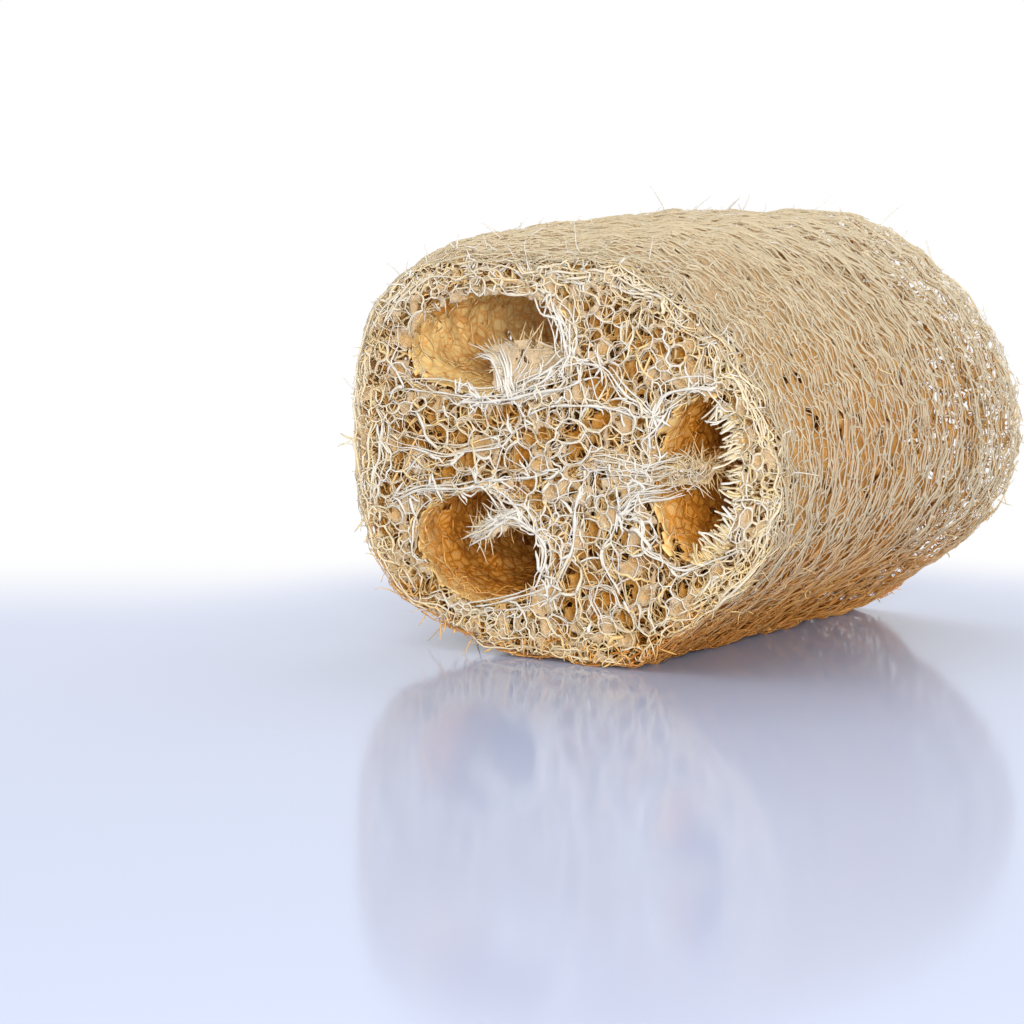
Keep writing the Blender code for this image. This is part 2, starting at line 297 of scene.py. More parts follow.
def hub_at(y):
    scale = swell_at(y)
    return HUB[0] * scale + CENTRING_SHIFT, HUB[1] * scale + middle_height(y)


def ridge_points(channel, out, across, y):
    """Points on a channel's ridge: this far out from its root, and this far to one side."""
    hub_x, hub_z = hub_at(y)
    x, z = turned(out, across, channel.ridge_turn)
    x, z = turned(channel.edge * swell_at(y) + x, z, channel.bearing)
    return points_at(hub_x + x, y, hub_z + z)


def in_webs(points):
    inside = depth_under(points) > WALL_DEPTH - 0.0016
    return inside & clear_of_channels(points, 0.0006)


def pit_opening(points):
    """How open the pits are at each point: fully down to 7 mm in from the cut, and closed from 18 mm."""
    return np.clip(1.6 - depth_from_cut(points) / (11 * MM), 0, 1)


def round_the_pits(points):
    """Moves points aside from the open pits of the nearer cut face."""
    x, z = back_on_face(points)
    share = pit_opening(points)
    moved = points.copy()
    for pit_x, pit_z, radius in PITS:
        out_x, out_z = x - pit_x * MM, z - pit_z * MM
        away = np.hypot(out_x, out_z) + 1e-9
        reach = PIT_REACH * radius * MM
        new = radius * MM * share + away * (1 - radius * MM * share / reach)
        shift = np.where(away < reach, new / away - 1, 0.0)
        moved[:, 0] += out_x * shift
        moved[:, 2] += out_z * shift
    return moved


def in_pits(points):
    """Which points stand in an open pit."""
    x, z = back_on_face(points)
    share = 0.8 * pit_opening(points)
    inside = np.zeros(len(points), dtype=bool)
    for pit_x, pit_z, radius in PITS:
        inside |= np.hypot(x - pit_x * MM, z - pit_z * MM) < radius * MM * share
    return inside


def angle_at_share(outline, share):
    """The angle at this share of the way round an outline, which gives x and z at each angle."""
    angles = np.linspace(0, math.tau, 721)
    x, z = outline(angles)
    run = np.concatenate([[0.0], np.cumsum(np.hypot(np.diff(x), np.diff(z)))])
    return np.interp(share % 1.0, run / run[-1], angles)


def evenly_round_body(share, y=0.0):
    def outline(angles):
        radius = body_radius(angles, y + 0 * angles)
        return radius * np.cos(angles), radius * np.sin(angles)

    return angle_at_share(outline, share)


def evenly_round_channel(channel, share):
    def outline(angles):
        return channel.half_width * np.cos(angles), channel.half_height * np.sin(angles)

    return angle_at_share(outline, share)


def drift(points, wavelength, amount, seed):
    """A smooth random shift of each point, from slanting waves of about this length."""
    rng = np.random.default_rng(seed)
    shift = np.zeros_like(points)
    waves = 7
    for _ in range(waves):
        heading = rng.normal(size=3)
        heading *= math.tau / (wavelength * rng.uniform(0.7, 1.5)) / np.linalg.norm(heading)
        shift += np.sin(points @ heading + rng.uniform(0, math.tau))[:, None] * rng.normal(size=3)
    return shift * amount / math.sqrt(waves)


def face_roll(points):
    """How much deeper the cut face lies here than a flat cut would, in slow waves."""
    return drift(points, 12 * MM, 0.6 * MM, 17)[:, 1]


# Nets of fibre


def net_of_cells(girth, length, cell, jitter, rng, joined=True):
    """A net of irregular closed cells over a strip that closes on itself round its girth.

    cell is the usual cell's size along the girth and along the length. The knots come back as
    (share of the girth, place along the length), and the fibres as pairs of knots."""
    columns = max(5, round(girth / cell[0]))
    rows = math.ceil(length / cell[1] / 0.866) + 5
    column, row = np.meshgrid(np.arange(columns), np.arange(rows))
    across = (column + 0.5 * (row % 2)).ravel()
    along = (row * 0.866).ravel()
    seeds = np.stack([across, along], axis=1) + rng.normal(0, jitter, (len(across), 2))
    home = np.arange(len(seeds))
    if joined:
        seeds[:, 0] %= columns
        low, high = seeds[:, 0] < 3, seeds[:, 0] > columns - 3
        seeds = np.vstack([seeds, seeds[low] + (columns, 0), seeds[high] - (columns, 0)])
        home = np.concatenate([home, home[low], home[high]])
    places, _, faces, origins, _, _ = delaunay_2d_cdt([Vector(s) for s in seeds], [], [], 0, 1e-7)
    home = [home[o[0]] for o in origins]
    knots, spots, sides = {}, [], {}
    for face in faces:
        middle = sum((places[v] for v in face), Vector((0.0, 0.0))) / 3
        if joined and not -1 < middle.x < columns + 1:
            continue
        key = tuple(sorted(home[v] for v in face))
        if key not in knots:
            knots[key] = len(spots)
            spots.append(middle)
        for a, b in zip(face, (*face[1:], face[0])):
            sides.setdefault((min(a, b), max(a, b)), []).append(knots[key])
    fibres = {tuple(sorted(pair)) for pair in sides.values() if len(pair) == 2 and pair[0] != pair[1]}
    spots = np.array(spots)
    middle = (rows - 1) * 0.866 / 2
    spots = np.stack([spots[:, 0] / columns, (spots[:, 1] - middle) * cell[1]], axis=1)
    if joined:
        spots[:, 0] %= 1.0
    return spots, np.array(sorted(fibres))


def round_cells(seeds):
    """The cells round these flat places: the corners where three cells meet, and for each cell its
    place's number and the ring of its corners in order."""
    places, _, faces, origins, _, _ = delaunay_2d_cdt([Vector(s) for s in seeds], [], [], 0, 1e-7)
    places = np.array([tuple(p) for p in places])
    corners = np.array([places[list(face)].mean(axis=0) for face in faces])
    rings = [[] for _ in places]
    for number, face in enumerate(faces):
        for seed in face:
            rings[seed].append(number)
    cells = []
    for seed, ring in enumerate(rings):
        if len(ring) > 3:
            out = corners[ring] - places[seed]
            order = np.argsort(np.arctan2(out[:, 1], out[:, 0]))
            cells.append((origins[seed][0], [ring[i] for i in order]))
    return corners, cells


def cell_edges(cells):
    """The sides of all the cells, each once, as pairs of corners."""
    pairs = {tuple(sorted(pair)) for _, ring in cells for pair in zip(ring, (*ring[1:], ring[0]))}
    return np.array(sorted(pairs))


def face_cells(seeds, end):
    """The cells round these places on a cut face: their corners on the flat cut, and their rings."""
    corners, cells = round_cells(seeds / MM)
    y = np.full(len(corners), end * LENGTH / 2)
    return on_face(corners[:, 0] * MM, corners[:, 1] * MM, y), cells


def sponge_net(spacing, seed):
    """An open net through all the webs: knots scattered this far apart, and fibres between near ones."""
    rng = np.random.default_rng(seed)
    side = np.arange(-0.056, 0.056, spacing)
    up = np.arange(-0.044, 0.048, spacing)
    grid = np.stack(np.meshgrid(side, np.arange(-0.031, 0.031, spacing), up, indexing="ij"), axis=-1)
    points = grid.reshape(-1, 3) + rng.uniform(-0.5, 0.5, (grid.size // 3, 3)) * spacing
    points += drift(points, 0.015, 0.0015, seed + 1)
    points[:, 1] = stretched_middle(points[:, 1])
    points[:, 2] += middle_height(0.0)
    points = points[np.abs(points[:, 1]) < LENGTH / 2 - 0.0003]
    points = round_the_pits(points)
    points = points[in_webs(points)]
    return points, fibres_in_webs(points, 1.22)


def fibres_in_webs(points, openness):
    """The fibres between near points, without those that would cross a channel or an open pit."""
    pairs = fibres_between(points, openness)
    middle = points[pairs].mean(axis=1)
    return pairs[in_webs(middle) & ~in_pits(middle)]


def tree_of(points):
    tree = KDTree(len(points))
    for number, point in enumerate(points):
        tree.insert(point, number)
    tree.balance()
    return tree


def fibres_between(points, openness, near=15):
    """A fibre joins two near points where no third one stands too close to both."""
    tree = tree_of(points)
    others = np.array([[found[1] for found in tree.find_n(point, near)][1:] for point in points])
    away = points[others] - points[:, None]
    far = (away**2).sum(2)
    apart = ((away[:, :, None] - away[:, None]) ** 2).sum(3)
    free = far[:, None, :] + apart >= openness * far[:, :, None]
    free |= np.eye(near - 1, dtype=bool)[None]
    first, second = np.nonzero(free.all(axis=2))
    pairs = np.sort(np.stack([first, others[first, second]], axis=1), axis=1)
    return np.unique(pairs, axis=0)


def stretched_middle(y):
    """Close cells within 20 mm of both cut faces, and longer ones between, where little light comes."""
    near = np.abs(y)
    return np.sign(y) * np.where(near < 0.010, near * 2.5, near + 0.015)


def strands_of(points, fibres, loosest=-0.5):
    """Walks a net into long strands: at each knot the straightest two fibres run on as one."""
    ends = [[] for _ in points]
    for number, (a, b) in enumerate(fibres):
        ends[a].append((number, b))
        ends[b].append((number, a))
    onward = {}
    for knot, fibres_here in enumerate(ends):
        if len(fibres_here) < 2:
            continue
        headings = points[[b for _, b in fibres_here]] - points[knot]
        headings /= np.linalg.norm(headings, axis=1)[:, None] + 1e-12
        bends = headings @ headings.T
        count = len(fibres_here)
        pairs = sorted((bends[i, j], i, j) for i in range(count) for j in range(i + 1, count))
        taken = set()
        for bend, i, j in pairs:
            if bend < loosest and i not in taken and j not in taken:
                taken |= {i, j}
                first, second = fibres_here[i][0], fibres_here[j][0]
                onward[knot, first] = second
                onward[knot, second] = first
    strands, walked = [], set()
    starts = [(n, a, b) for n, (a, b) in enumerate(fibres) if (a, n) not in onward]
    starts += [(n, b, a) for n, (a, b) in enumerate(fibres) if (b, n) not in onward]
    starts += [(n, a, b) for n, (a, b) in enumerate(fibres)]
    for number, start, knot in starts:
        if number in walked:
            continue
        strand = [start, knot]
        walked.add(number)
        while (knot, number) in onward:
            number = onward[knot, number]
            if number in walked:
                break
            walked.add(number)
            a, b = fibres[number]
            knot = b if a == knot else a
            strand.append(knot)
        strands.append(strand)
    return strands


def curve_through(points, step):
    """A smooth curve through the points, in steps of about this length."""
    span = np.linalg.norm(np.diff(points, axis=0), axis=1).mean()
    count = int(min(max(round(span / step), 1), 8))
    heading = np.gradient(points, axis=0)
    t = (np.arange(count) / count)[None, :, None]
    a, b, from_a, from_b = points[:-1, None], points[1:, None], heading[:-1, None], heading[1:, None]
    curve = a * (2 * t**3 - 3 * t**2 + 1) + from_a * (t**3 - 2 * t**2 + t)
    curve = curve + b * (3 * t**2 - 2 * t**3) + from_b * (t**3 - t**2)
    return np.vstack([curve.reshape(-1, 3), points[-1:]])


class Fibres:
    """Strands gathered for one piece: each has its points, radii and tone."""

    def __init__(self, seed):
        self.rng = np.random.default_rng(seed)
        self.points, self.radii, self.tones = [], [], []

    def add(self, points, width, step=1.3 * MM, ends=(1.0, 1.0), tone=None, flare=None):
        """One strand through these points, a little thicker here and thinner there, or as flare says."""
        if len(points) < 2:
            return
        curve = curve_through(np.asarray(points, dtype=float), step)
        along = np.linspace(0, 1, len(curve))
        phase = self.rng.uniform(0, math.tau)
        uneven = 1 + 0.16 * np.sin(along * len(curve) * 0.9 + phase)
        if flare is not None:
            uneven = uneven * np.interp(along, np.linspace(0, 1, len(flare)), flare)
        fade = np.minimum(1, ends[0] + (1 - ends[0]) * along * 3.0)
        fade = fade * np.minimum(1, ends[1] + (1 - ends[1]) * (1 - along) * 3.0)
        self.points.append(curve)
        self.radii.append(np.maximum(width / 2 * uneven * fade, 0.03 * MM))
        self.tones.append(self.rng.uniform(-1, 1) if tone is None else tone)

    def add_net(self, points, fibres, width, spread=0.25, step=1.3 * MM, missing=0.0, bow=0.0):
        """A net's strands, of about this width, each fibre bowed sideways by this share of its length."""
        if missing:
            fibres = fibres[self.rng.random(len(fibres)) > missing]
        for strand in strands_of(points, fibres):
            size = width * float(np.exp(self.rng.normal(0, spread)))
            knots = points[strand]
            if bow:
                span = np.diff(knots, axis=0)
                sideways = self.rng.normal(0, bow, span.shape) * np.linalg.norm(span, axis=1)[:, None]
                run = np.empty((2 * len(knots) - 1, 3))
                run[0::2] = knots
                run[1::2] = (knots[1:] + knots[:-1]) / 2 + sideways
                knots = run
            self.add(knots, size, step)

    def add_hairs(self, roots, headings, length, width, curl, tip=0.45):
        """Short loose ends, each from its root along its heading with a random curl."""
        for root, heading in zip(roots, headings):
            reach = length * self.rng.uniform(0.5, 1.5)
            bend = self.rng.normal(0, curl, 3) * reach
            t = np.array([0.0, 0.35, 0.7, 1.0])[:, None]
            size = width * self.rng.uniform(0.7, 1.3)
            self.add(root + heading * reach * t + bend * t**2, size, 1.0 * MM, (1.0, tip))


def crinkled(points):
    """The small waves that a dried net has everywhere, the same for all pieces so that they stay joined."""
    return points + drift(points, 7.0 * MM, 0.30 * MM, 5) + drift(points, 2.8 * MM, 0.08 * MM, 6)


def tube_mesh(name, fibres, sides):
    """Closed tubes along all the strands, with a map that gives each strand its own cell."""
    counts = np.array([len(p) for p in fibres.points])
    points, radii = crinkled(np.concatenate(fibres.points)), np.concatenate(fibres.radii)
    points[:, 2] = np.maximum(points[:, 2], radii)
    first = np.concatenate([[0], np.cumsum(counts)[:-1]])
    strand = np.repeat(np.arange(len(counts)), counts)
    number = np.arange(len(points))
    begin, end = first[strand], first[strand] + counts[strand] - 1
    along = points[np.minimum(number + 1, end)] - points[np.maximum(number - 1, begin)]
    along /= np.linalg.norm(along, axis=1)[:, None] + 1e-12
    out = np.zeros_like(points)
    for step in range(counts.max()):
        rows = first[counts > step] + step
        if step:
            guide = out[rows - 1]
        else:
            upright = np.abs(along[rows, 2:3]) > 0.8
            guide = np.where(upright, (1.0, 0.0, 0.0), (0.0, 0.0, 1.0))
        guide = guide - (guide * along[rows]).sum(1)[:, None] * along[rows]
        out[rows] = guide / (np.linalg.norm(guide, axis=1)[:, None] + 1e-12)
    over = np.cross(along, out)
    turn = math.tau * np.arange(sides) / sides
    ring = np.cos(turn)[None, :, None] * out[:, None] + np.sin(turn)[None, :, None] * over[:, None]
    verts = (points[:, None] + radii[:, None, None] * ring).reshape(-1, 3)
    verts[:, 2] = np.maximum(verts[:, 2], 0.0)

    runs = number[number < end]
    side = np.arange(sides)
    near, far = runs[:, None] * sides + side, runs[:, None] * sides + (side + 1) % sides
    walls = np.stack([near, far, far + sides, near + sides], axis=2).reshape(-1, 4)
    starts = first[:, None] * sides + side[::-1]
    stops = (first + counts - 1)[:, None] * sides + side
    corners = np.concatenate([walls.ravel(), starts.ravel(), stops.ravel()])
    sizes = np.concatenate([np.full(len(walls), 4), np.full(2 * len(counts), sides)])

    mesh = bpy.data.meshes.new(name)
    mesh.vertices.add(len(verts))
    mesh.vertices.foreach_set("co", verts.astype(np.float32).ravel())
    mesh.loops.add(len(corners))
    mesh.loops.foreach_set("vertex_index", corners.astype(np.int32))
    mesh.polygons.add(len(sizes))
    mesh.polygons.foreach_set("loop_start", (np.cumsum(sizes) - sizes).astype(np.int32))
    mesh.update(calc_edges=True)
    mesh.shade_smooth()

    tone = np.repeat(np.array(fibres.tones), counts * sides)
    mesh.attributes.new("tone", "FLOAT", "POINT").data.foreach_set("value", tone.astype(np.float32))
    mesh.uv_layers.new(name="OFBake").data.foreach_set(
        "uv", strand_map(counts, first, strand, runs, sides).astype(np.float32).ravel()
    )
    return mesh


def strand_map(counts, first, strand, runs, sides):
    """Each strand's own cell of the map: its length across, its girth up, a cap at either end."""
    cells = math.ceil(math.sqrt(len(counts)))
    corner = np.stack([np.arange(len(counts)) % cells, np.arange(len(counts)) // cells], axis=1)
    place = (runs - first[strand[runs]]) / (counts[strand[runs]] - 1)
    next_place = (runs + 1 - first[strand[runs]]) / (counts[strand[runs]] - 1)
    side = np.arange(sides)
    near_u = np.broadcast_to(place[:, None], (len(runs), sides))
    far_u = np.broadcast_to(next_place[:, None], (len(runs), sides))
    low_v = np.broadcast_to(side / sides, (len(runs), sides))
    high_v = np.broadcast_to((side + 1) / sides, (len(runs), sides))
    u = np.stack([near_u, near_u, far_u, far_u], axis=2)
    v = np.stack([low_v, high_v, high_v, low_v], axis=2)
    walls = np.stack([0.16 + 0.68 * u, 0.06 + 0.88 * v], axis=3)
    walls = walls + corner[strand[runs]][:, None, None]
    turn = math.tau * side / sides
    cap = np.stack([0.05 * np.cos(turn), 0.40 * np.sin(turn)], axis=1)
    starts = corner[:, None] + (0.07, 0.5) + cap[None, ::-1]
    stops = corner[:, None] + (0.93, 0.5) + cap[None]
    return np.concatenate([walls.reshape(-1, 2), starts.reshape(-1, 2), stops.reshape(-1, 2)]) / cells


# Pieces in the scene


def add_piece(name, mesh, shade, material, replaced):
    """Puts a mesh in the scene on the root, with how amber each of its points is, and hides the parts that
    it replaces.
    """
    values = mesh.attributes.new("amber", "FLOAT", "POINT").data
    values.foreach_set("value", shade.astype(np.float32))
    mesh.materials.append(material)
    piece = bpy.data.objects.new(name, mesh)
    bpy.context.scene.collection.objects.link(piece)
    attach(piece, "root")
    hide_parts(*replaced)
    return piece


def make_piece(name, fibres, sides, material, replaced, amber):
    """A finished piece of fibres. amber is a function that gives the shade of each point."""
    mesh = tube_mesh(name, fibres, sides)
    verts = np.empty(len(mesh.vertices) * 3, dtype=np.float32)
    mesh.vertices.foreach_get("co", verts)
    shade = amber(verts.reshape(-1, 3).astype(float))
    add_piece(name, mesh, shade, material, replaced)


def make_sheet(name, verts, faces, shade, material, replaced):
    """A finished thin sheet, closed all round, from the faces of its middle."""
    mesh = bpy.data.meshes.new(name)
    mesh.from_pydata(verts.tolist(), [], faces.tolist())
    piece = add_piece(name, mesh, shade, material, replaced)
    bpy.ops.object.select_all(action="DESELECT")
    piece.select_set(True)
    bpy.context.view_layer.objects.active = piece
    bpy.ops.object.mode_set(mode="EDIT")
    bpy.ops.mesh.select_all(action="SELECT")
    bpy.ops.mesh.delete_loose()
    bpy.ops.object.mode_set(mode="OBJECT")
    thickness = piece.modifiers.new("thickness", "SOLIDIFY")
    thickness.thickness = 0.15 * MM
    thickness.offset = -1.0
    bpy.ops.object.modifier_apply(modifier=thickness.name)
    bpy.ops.object.shade_smooth()


def felt_tube(place, angles, rows, level, openness, seed):
    """The points and faces of a thin sheet all round the body or a channel, torn at its ends and by this
    much in spots towards the back. place gives the points at an angle, a y and a level."""
    around = len(angles)
    y = np.linspace(-LENGTH / 2 + 1.2 * MM, LENGTH / 2 - 1.2 * MM, rows)
    angle, y = (grid.ravel() for grid in np.meshgrid(angles, y))
    flat = place(angle, y, level + 0 * y)
    waver = drift(flat, 6 * MM, 0.30 * MM, seed)[:, 0] + drift(flat, 2.2 * MM, 0.12 * MM, seed)[:, 0]
    verts = crinkled(place(angle, y, level + waver))
    tear = drift(flat, 3.0 * MM, 0.7, seed + 3)[:, 1] + drift(flat, 1.5 * MM, 0.7, seed + 4)[:, 1]
    torn = tear > (LENGTH / 2 - np.abs(y)) / (2.0 * MM) - 0.6
    torn |= tear > 1.8 - openness * np.clip((y - 4 * MM) / (20 * MM), 0, 1.4)
    row = np.arange(rows - 1)[:, None] * around
    side, following = np.arange(around), (np.arange(around) + 1) % around
    faces = np.stack([row + side, row + side + around, row + following + around, row + following], axis=2)
    faces = faces.reshape(-1, 4)
    return verts, faces[~torn[faces].any(axis=1)]


# Colours and materials


def linear(channel):
    return channel / 12.92 if channel <= 0.04045 else ((channel + 0.055) / 1.055) ** 2.4


def colour(code):
    """An sRGB hex colour in Blender's linear values."""
    return tuple(linear(int(code[i : i + 2], 16) / 255) for i in (1, 3, 5))


def empty_tree(owner):
    """The node tree of a material or a world, without nodes."""
    owner.use_nodes = True
    owner.node_tree.nodes.clear()
    return owner.node_tree


def add_node(tree, kind, output=None, inputs=None, **settings):
    """Adds a node with its settings, and fills its inputs with values or links. It gives this output of
    the node, or the node itself where none is named."""
    node = tree.nodes.new(kind)
    for name, value in settings.items():
        setattr(node, name, value)
    for name, value in (inputs or {}).items():
        if isinstance(value, bpy.types.NodeSocket):
            tree.links.new(value, node.inputs[name])
        else:
            node.inputs[name].default_value = value
    return node.outputs[output] if output else node


def calculate(tree, operation, *values):
    return add_node(tree, "ShaderNodeMath", "Value", dict(enumerate(values)), operation=operation)


def add_noise(tree, place, size, **settings):
    """Noise with patches of about this size."""
    inputs = {"Vector": place, "Scale": 1 / size} | settings
    return add_node(tree, "ShaderNodeTexNoise", "Fac", inputs)


def add_bump(tree, height, strength, distance):
    inputs = {"Height": height, "Strength": strength, "Distance": distance}
    return add_node(tree, "ShaderNodeBump", "Normal", inputs)


def smooth_range(tree, value, start, stop, **ends):
    """Rises smoothly from 0 to 1 between these two values, or between the ends that are named."""
    inputs = {"Value": value, "From Min": start, "From Max": stop} | ends
    return add_node(tree, "ShaderNodeMapRange", "Result", inputs, interpolation_type="SMOOTHSTEP")


def fibre_shade(tree, blotch, grain, tone=None, clean=None):
    """The colour that all the loofah's materials share: pale to brown by depth, blotch and strand. The
    change by depth is partly the flesh's own stain and partly painted shade and golden glow. A material
    may have its own colour for where it is clean."""
    colours = bpy.context.scene.loofah_colours
    place = add_node(tree, "ShaderNodeTexCoord", "Object")
    amber = add_node(tree, "ShaderNodeAttribute", "Fac", attribute_name="amber")
    tone = tone or add_node(tree, "ShaderNodeAttribute", "Fac", attribute_name="tone")
    # Blotches about 10 mm across, where the flesh was rinsed out more or less well
    blotches = add_noise(tree, place, 10 * MM, Detail=3.0, Roughness=0.6)
    blotched = calculate(tree, "MULTIPLY_ADD", blotches, blotch, -blotch / 2)
    toned = calculate(tree, "MULTIPLY_ADD", tone, grain, blotched)
    shade = calculate(tree, "ADD", amber, toned)
    ramp = add_node(tree, "ShaderNodeValToRGB", inputs={"Fac": calculate(tree, "MULTIPLY", shade, 0.8)})
    # Deep and Stained, reached at the bottom of pits and channels, are partly the flesh's stain and partly
    # painted shade there
    stops = (
        (0.0, clean or colours.pale),
        (0.24, clean or colours.straw),
        (0.52, colours.amber),
        (0.80, colours.deep),
        (1.0, colours.stained),
    )
    for position, _ in stops[1:-1]:
        ramp.color_ramp.elements.new(position)
    for element, (position, value) in zip(ramp.color_ramp.elements, stops):
        element.position = position
        element.color = (*value, 1.0)
    return place, ramp.outputs["Color"]


def glowing_surface(tree, shade, normal, roughness, through):
    """Matt plant fibre that lets this share of the light through, as thin dry cellulose does."""
    matt = {"Base Color": shade, "Roughness": roughness, "Specular IOR Level": 0.25, "Normal": normal}
    shader = add_node(tree, "ShaderNodeBsdfPrincipled", "BSDF", matt)
    glow = add_node(tree, "ShaderNodeBsdfTranslucent", "BSDF", {"Color": shade, "Normal": normal})
    mixed = add_node(tree, "ShaderNodeMixShader", "Shader", {0: through, 1: shader, 2: glow})
    add_node(tree, "ShaderNodeOutputMaterial", inputs={"Surface": mixed})


def gourd_fibre(name, roughness, through, clean=None):
    """Dried gourd fibre: matt, whitish or its own colour where it is clean, straw to brown deep in."""
    if name in bpy.data.materials:
        return bpy.data.materials[name]
    material = bpy.data.materials.new(name)
    tree = empty_tree(material)
    place, shade = fibre_shade(tree, 0.28, 0.13, clean=clean)
    # Fibrils are under 0.1 mm, too fine to show, so the grain is drawn 0.3 mm wide
    fibrils = add_noise(tree, place, 0.3 * MM, Detail=2.0)
    glowing_surface(tree, shade, add_bump(tree, fibrils, 0.35, 0.05 * MM), roughness, through)
    return material


def felted_skin(name, veins, through):
    """The thin felt of hairs between a net's cells: golden where light comes through it, and deeper by
    this much along the cells' edges."""
    if name in bpy.data.materials:
        return bpy.data.materials[name]
    material = bpy.data.materials.new(name)
    tree = empty_tree(material)
    # Cells 2.2 mm wide. The hairs are under 0.1 mm, too fine to show, so they are drawn 0.7 mm wide
    place = add_node(tree, "ShaderNodeTexCoord", "Object")
    cell = {"Vector": place, "Scale": 1 / (2.2 * MM)}
    cells = add_node(tree, "ShaderNodeTexVoronoi", "Distance", cell, feature="DISTANCE_TO_EDGE")
    at_edges = smooth_range(tree, cells, 0.0, 0.22, **{"To Min": 1.0, "To Max": -0.6})
    shade = fibre_shade(tree, 0.30, veins, at_edges, bpy.context.scene.loofah_colours.felted)[1]
    hairs = add_noise(tree, place, 0.7 * MM, Detail=4.0, Distortion=1.5)
    height = calculate(tree, "MULTIPLY_ADD", cells, 0.8, hairs)
    glowing_surface(tree, shade, add_bump(tree, height, 0.5, 0.4 * MM), 0.6, through)
    return material


def matted_film(name, through):
    """The film of matted hairs that is left between fibres: whitish beside them, beige to golden between."""
    if name in bpy.data.materials:
        return bpy.data.materials[name]
    material = bpy.data.materials.new(name)
    tree = empty_tree(material)
    # The hairs are under 0.1 mm, too fine to show, so they are drawn as streaks about 0.8 mm wide
    place = add_node(tree, "ShaderNodeTexCoord", "Object")
    streaks = add_noise(tree, place, 0.8 * MM, Detail=5.0, Roughness=0.7, Distortion=2.5)
    spread = {"Value": streaks, "From Min": 0.3, "From Max": 0.7, "To Min": -1.0}
    tone = add_node(tree, "ShaderNodeMapRange", "Result", spread)
    shade = fibre_shade(tree, 0.30, 0.22, tone, bpy.context.scene.loofah_colours.matted)[1]
    glowing_surface(tree, shade, add_bump(tree, streaks, 0.9, 0.7 * MM), 0.6, through)
    return material


# Settings


def length_setting(name, description, default):
    return bpy.props.FloatProperty(
        name=name, description=description, default=default, min=0.0, unit="LENGTH", precision=5
    )


def colour_setting(name, description, code):
    return bpy.props.FloatVectorProperty(
        name=name, description=description, default=colour(code), size=3, min=0.0, max=1.0, subtype="COLOR"
    )


class LoofahColours(bpy.types.PropertyGroup):
    # The amber value picks among these, pale to stained. It rises with depth in from the cuts and under the
    # surface: partly the flesh's own stain, partly painted shade and golden glow where less light reaches,
    # so Pale shows at the lit cut faces and Deep and Stained at the shaded bottoms of pits and channels
    pale: colour_setting("Pale", "Clean fibre at the cut faces", "#EEE8DC")
    cream: colour_setting("Cream", "Clean fibre of the outer wall", "#EEE3CA")
    straw: colour_setting("Straw", "Fibre a little way in from the cut faces", "#F1DAA4")
    amber: colour_setting("Amber", "Fibre in the seed channels", "#F3C378")
    deep: colour_setting("Deep", "Fibre deep inside, where the flesh stained it", "#E8A03C")
    stained: colour_setting("Stained", "Fibre at the bottom of pits and channels", "#BC7420")
    matted: colour_setting("Matted", "Clean hairs matted between the fibres", "#F2D7B0")
    felted: colour_setting("Felted", "The thin felt that lines the channels", "#FBDD96")


class LoofahWall(bpy.types.PropertyGroup):
    fibre_width: length_setting("Fibre width", "Width of the hoop fibres", 0.29 * MM)
    spacing: length_setting("Spacing", "From one hoop fibre to the next", 1.05 * MM)
    cell_length: length_setting("Cell length", "How far two hoop fibres run before they meet", 5.2 * MM)


class LoofahLinings(bpy.types.PropertyGroup):
    fibre_width: length_setting("Fibre width", "Width of the lining's fibres", 0.25 * MM)
    cell_size: length_setting("Cell size", "Width of the lining's cells", 1.9 * MM)


class LoofahSponge(bpy.types.PropertyGroup):
    fibre_width: length_setting("Fibre width", "Width of the webs' fibres", 0.36 * MM)
    spacing: length_setting("Spacing", "From one knot of the webs to the next", 2.9 * MM)
    missing: bpy.props.FloatProperty(
        name="Missing", description="Share of the webs' fibres left out", default=0.06, min=0.0, max=0.5
    )


class LoofahCutFaces(bpy.types.PropertyGroup):
    fibre_width: length_setting("Fibre width", "Width of the net on the cut faces", 0.30 * MM)
    trunk_width: length_setting("Trunk width", "Width of the thick white fibres", 0.85 * MM)
    cell_size: length_setting("Cell size", "Width of the openings in the cut faces", 2.9 * MM)


# The pieces


def deeper_amber(least, most, reach):
    """How amber a point is: least at a cut face, most this far in from it. The rise is painted shade and
    golden glow: deeper in from the cut less light reaches, and what does is warmed by the fibres it passed.
    """

    def shade(points):
        return least + (most - least) * np.clip(depth_from_cut(points) / reach, 0, 1) ** 0.7

    return shade


def lit_top(points):
    """How far a point lies in the top of the body, which is painted paler as painted light where the light
    falls: 0 below 45 mm, 1 from 75 mm up.
    """
    return np.clip((points[:, 2] - 0.045) / 0.030, 0, 1)


def wall_amber(least, most):
    """How amber the wall is: least at its surface, its cut edges and its top, most at its inner side, and
    more underneath. The rise towards the inner side is partly the flesh's own stain and partly painted
    shade under the outer nets; the paler cut edges and top are painted light, and the amber underneath
    is painted shade."""

    def shade(points):
        depth = np.clip(depth_under(points) / WALL_DEPTH, 0, 1)
        # Painted light: the wall is painted paler near its cut edges, where light gets in, over a longer
        # stretch at the far end
        reach = np.where(points[:, 1] > 0, 14 * MM, 6 * MM)
        lit_near_cut = np.exp((np.abs(points[:, 1]) - LENGTH / 2) / reach)
        # Painted shade: the wall is painted more amber underneath, below 30 mm, where shade falls under the
        # body
        under = np.clip(1 - points[:, 2] / 0.030, 0, 1)
        from_inside = (least + (most - least) * depth) * (1 - 0.45 * lit_near_cut)
        # Painted light: the top is painted paler, where the light falls
        return from_inside + 0.6 * under - 0.20 * lit_top(points)

    return shade


def near_wall(points):
    """1 in the wall's cut edge, and 0 from 9 mm under the surface."""
    return np.clip(1.5 - depth_under(points) / (6 * MM), 0, 1)


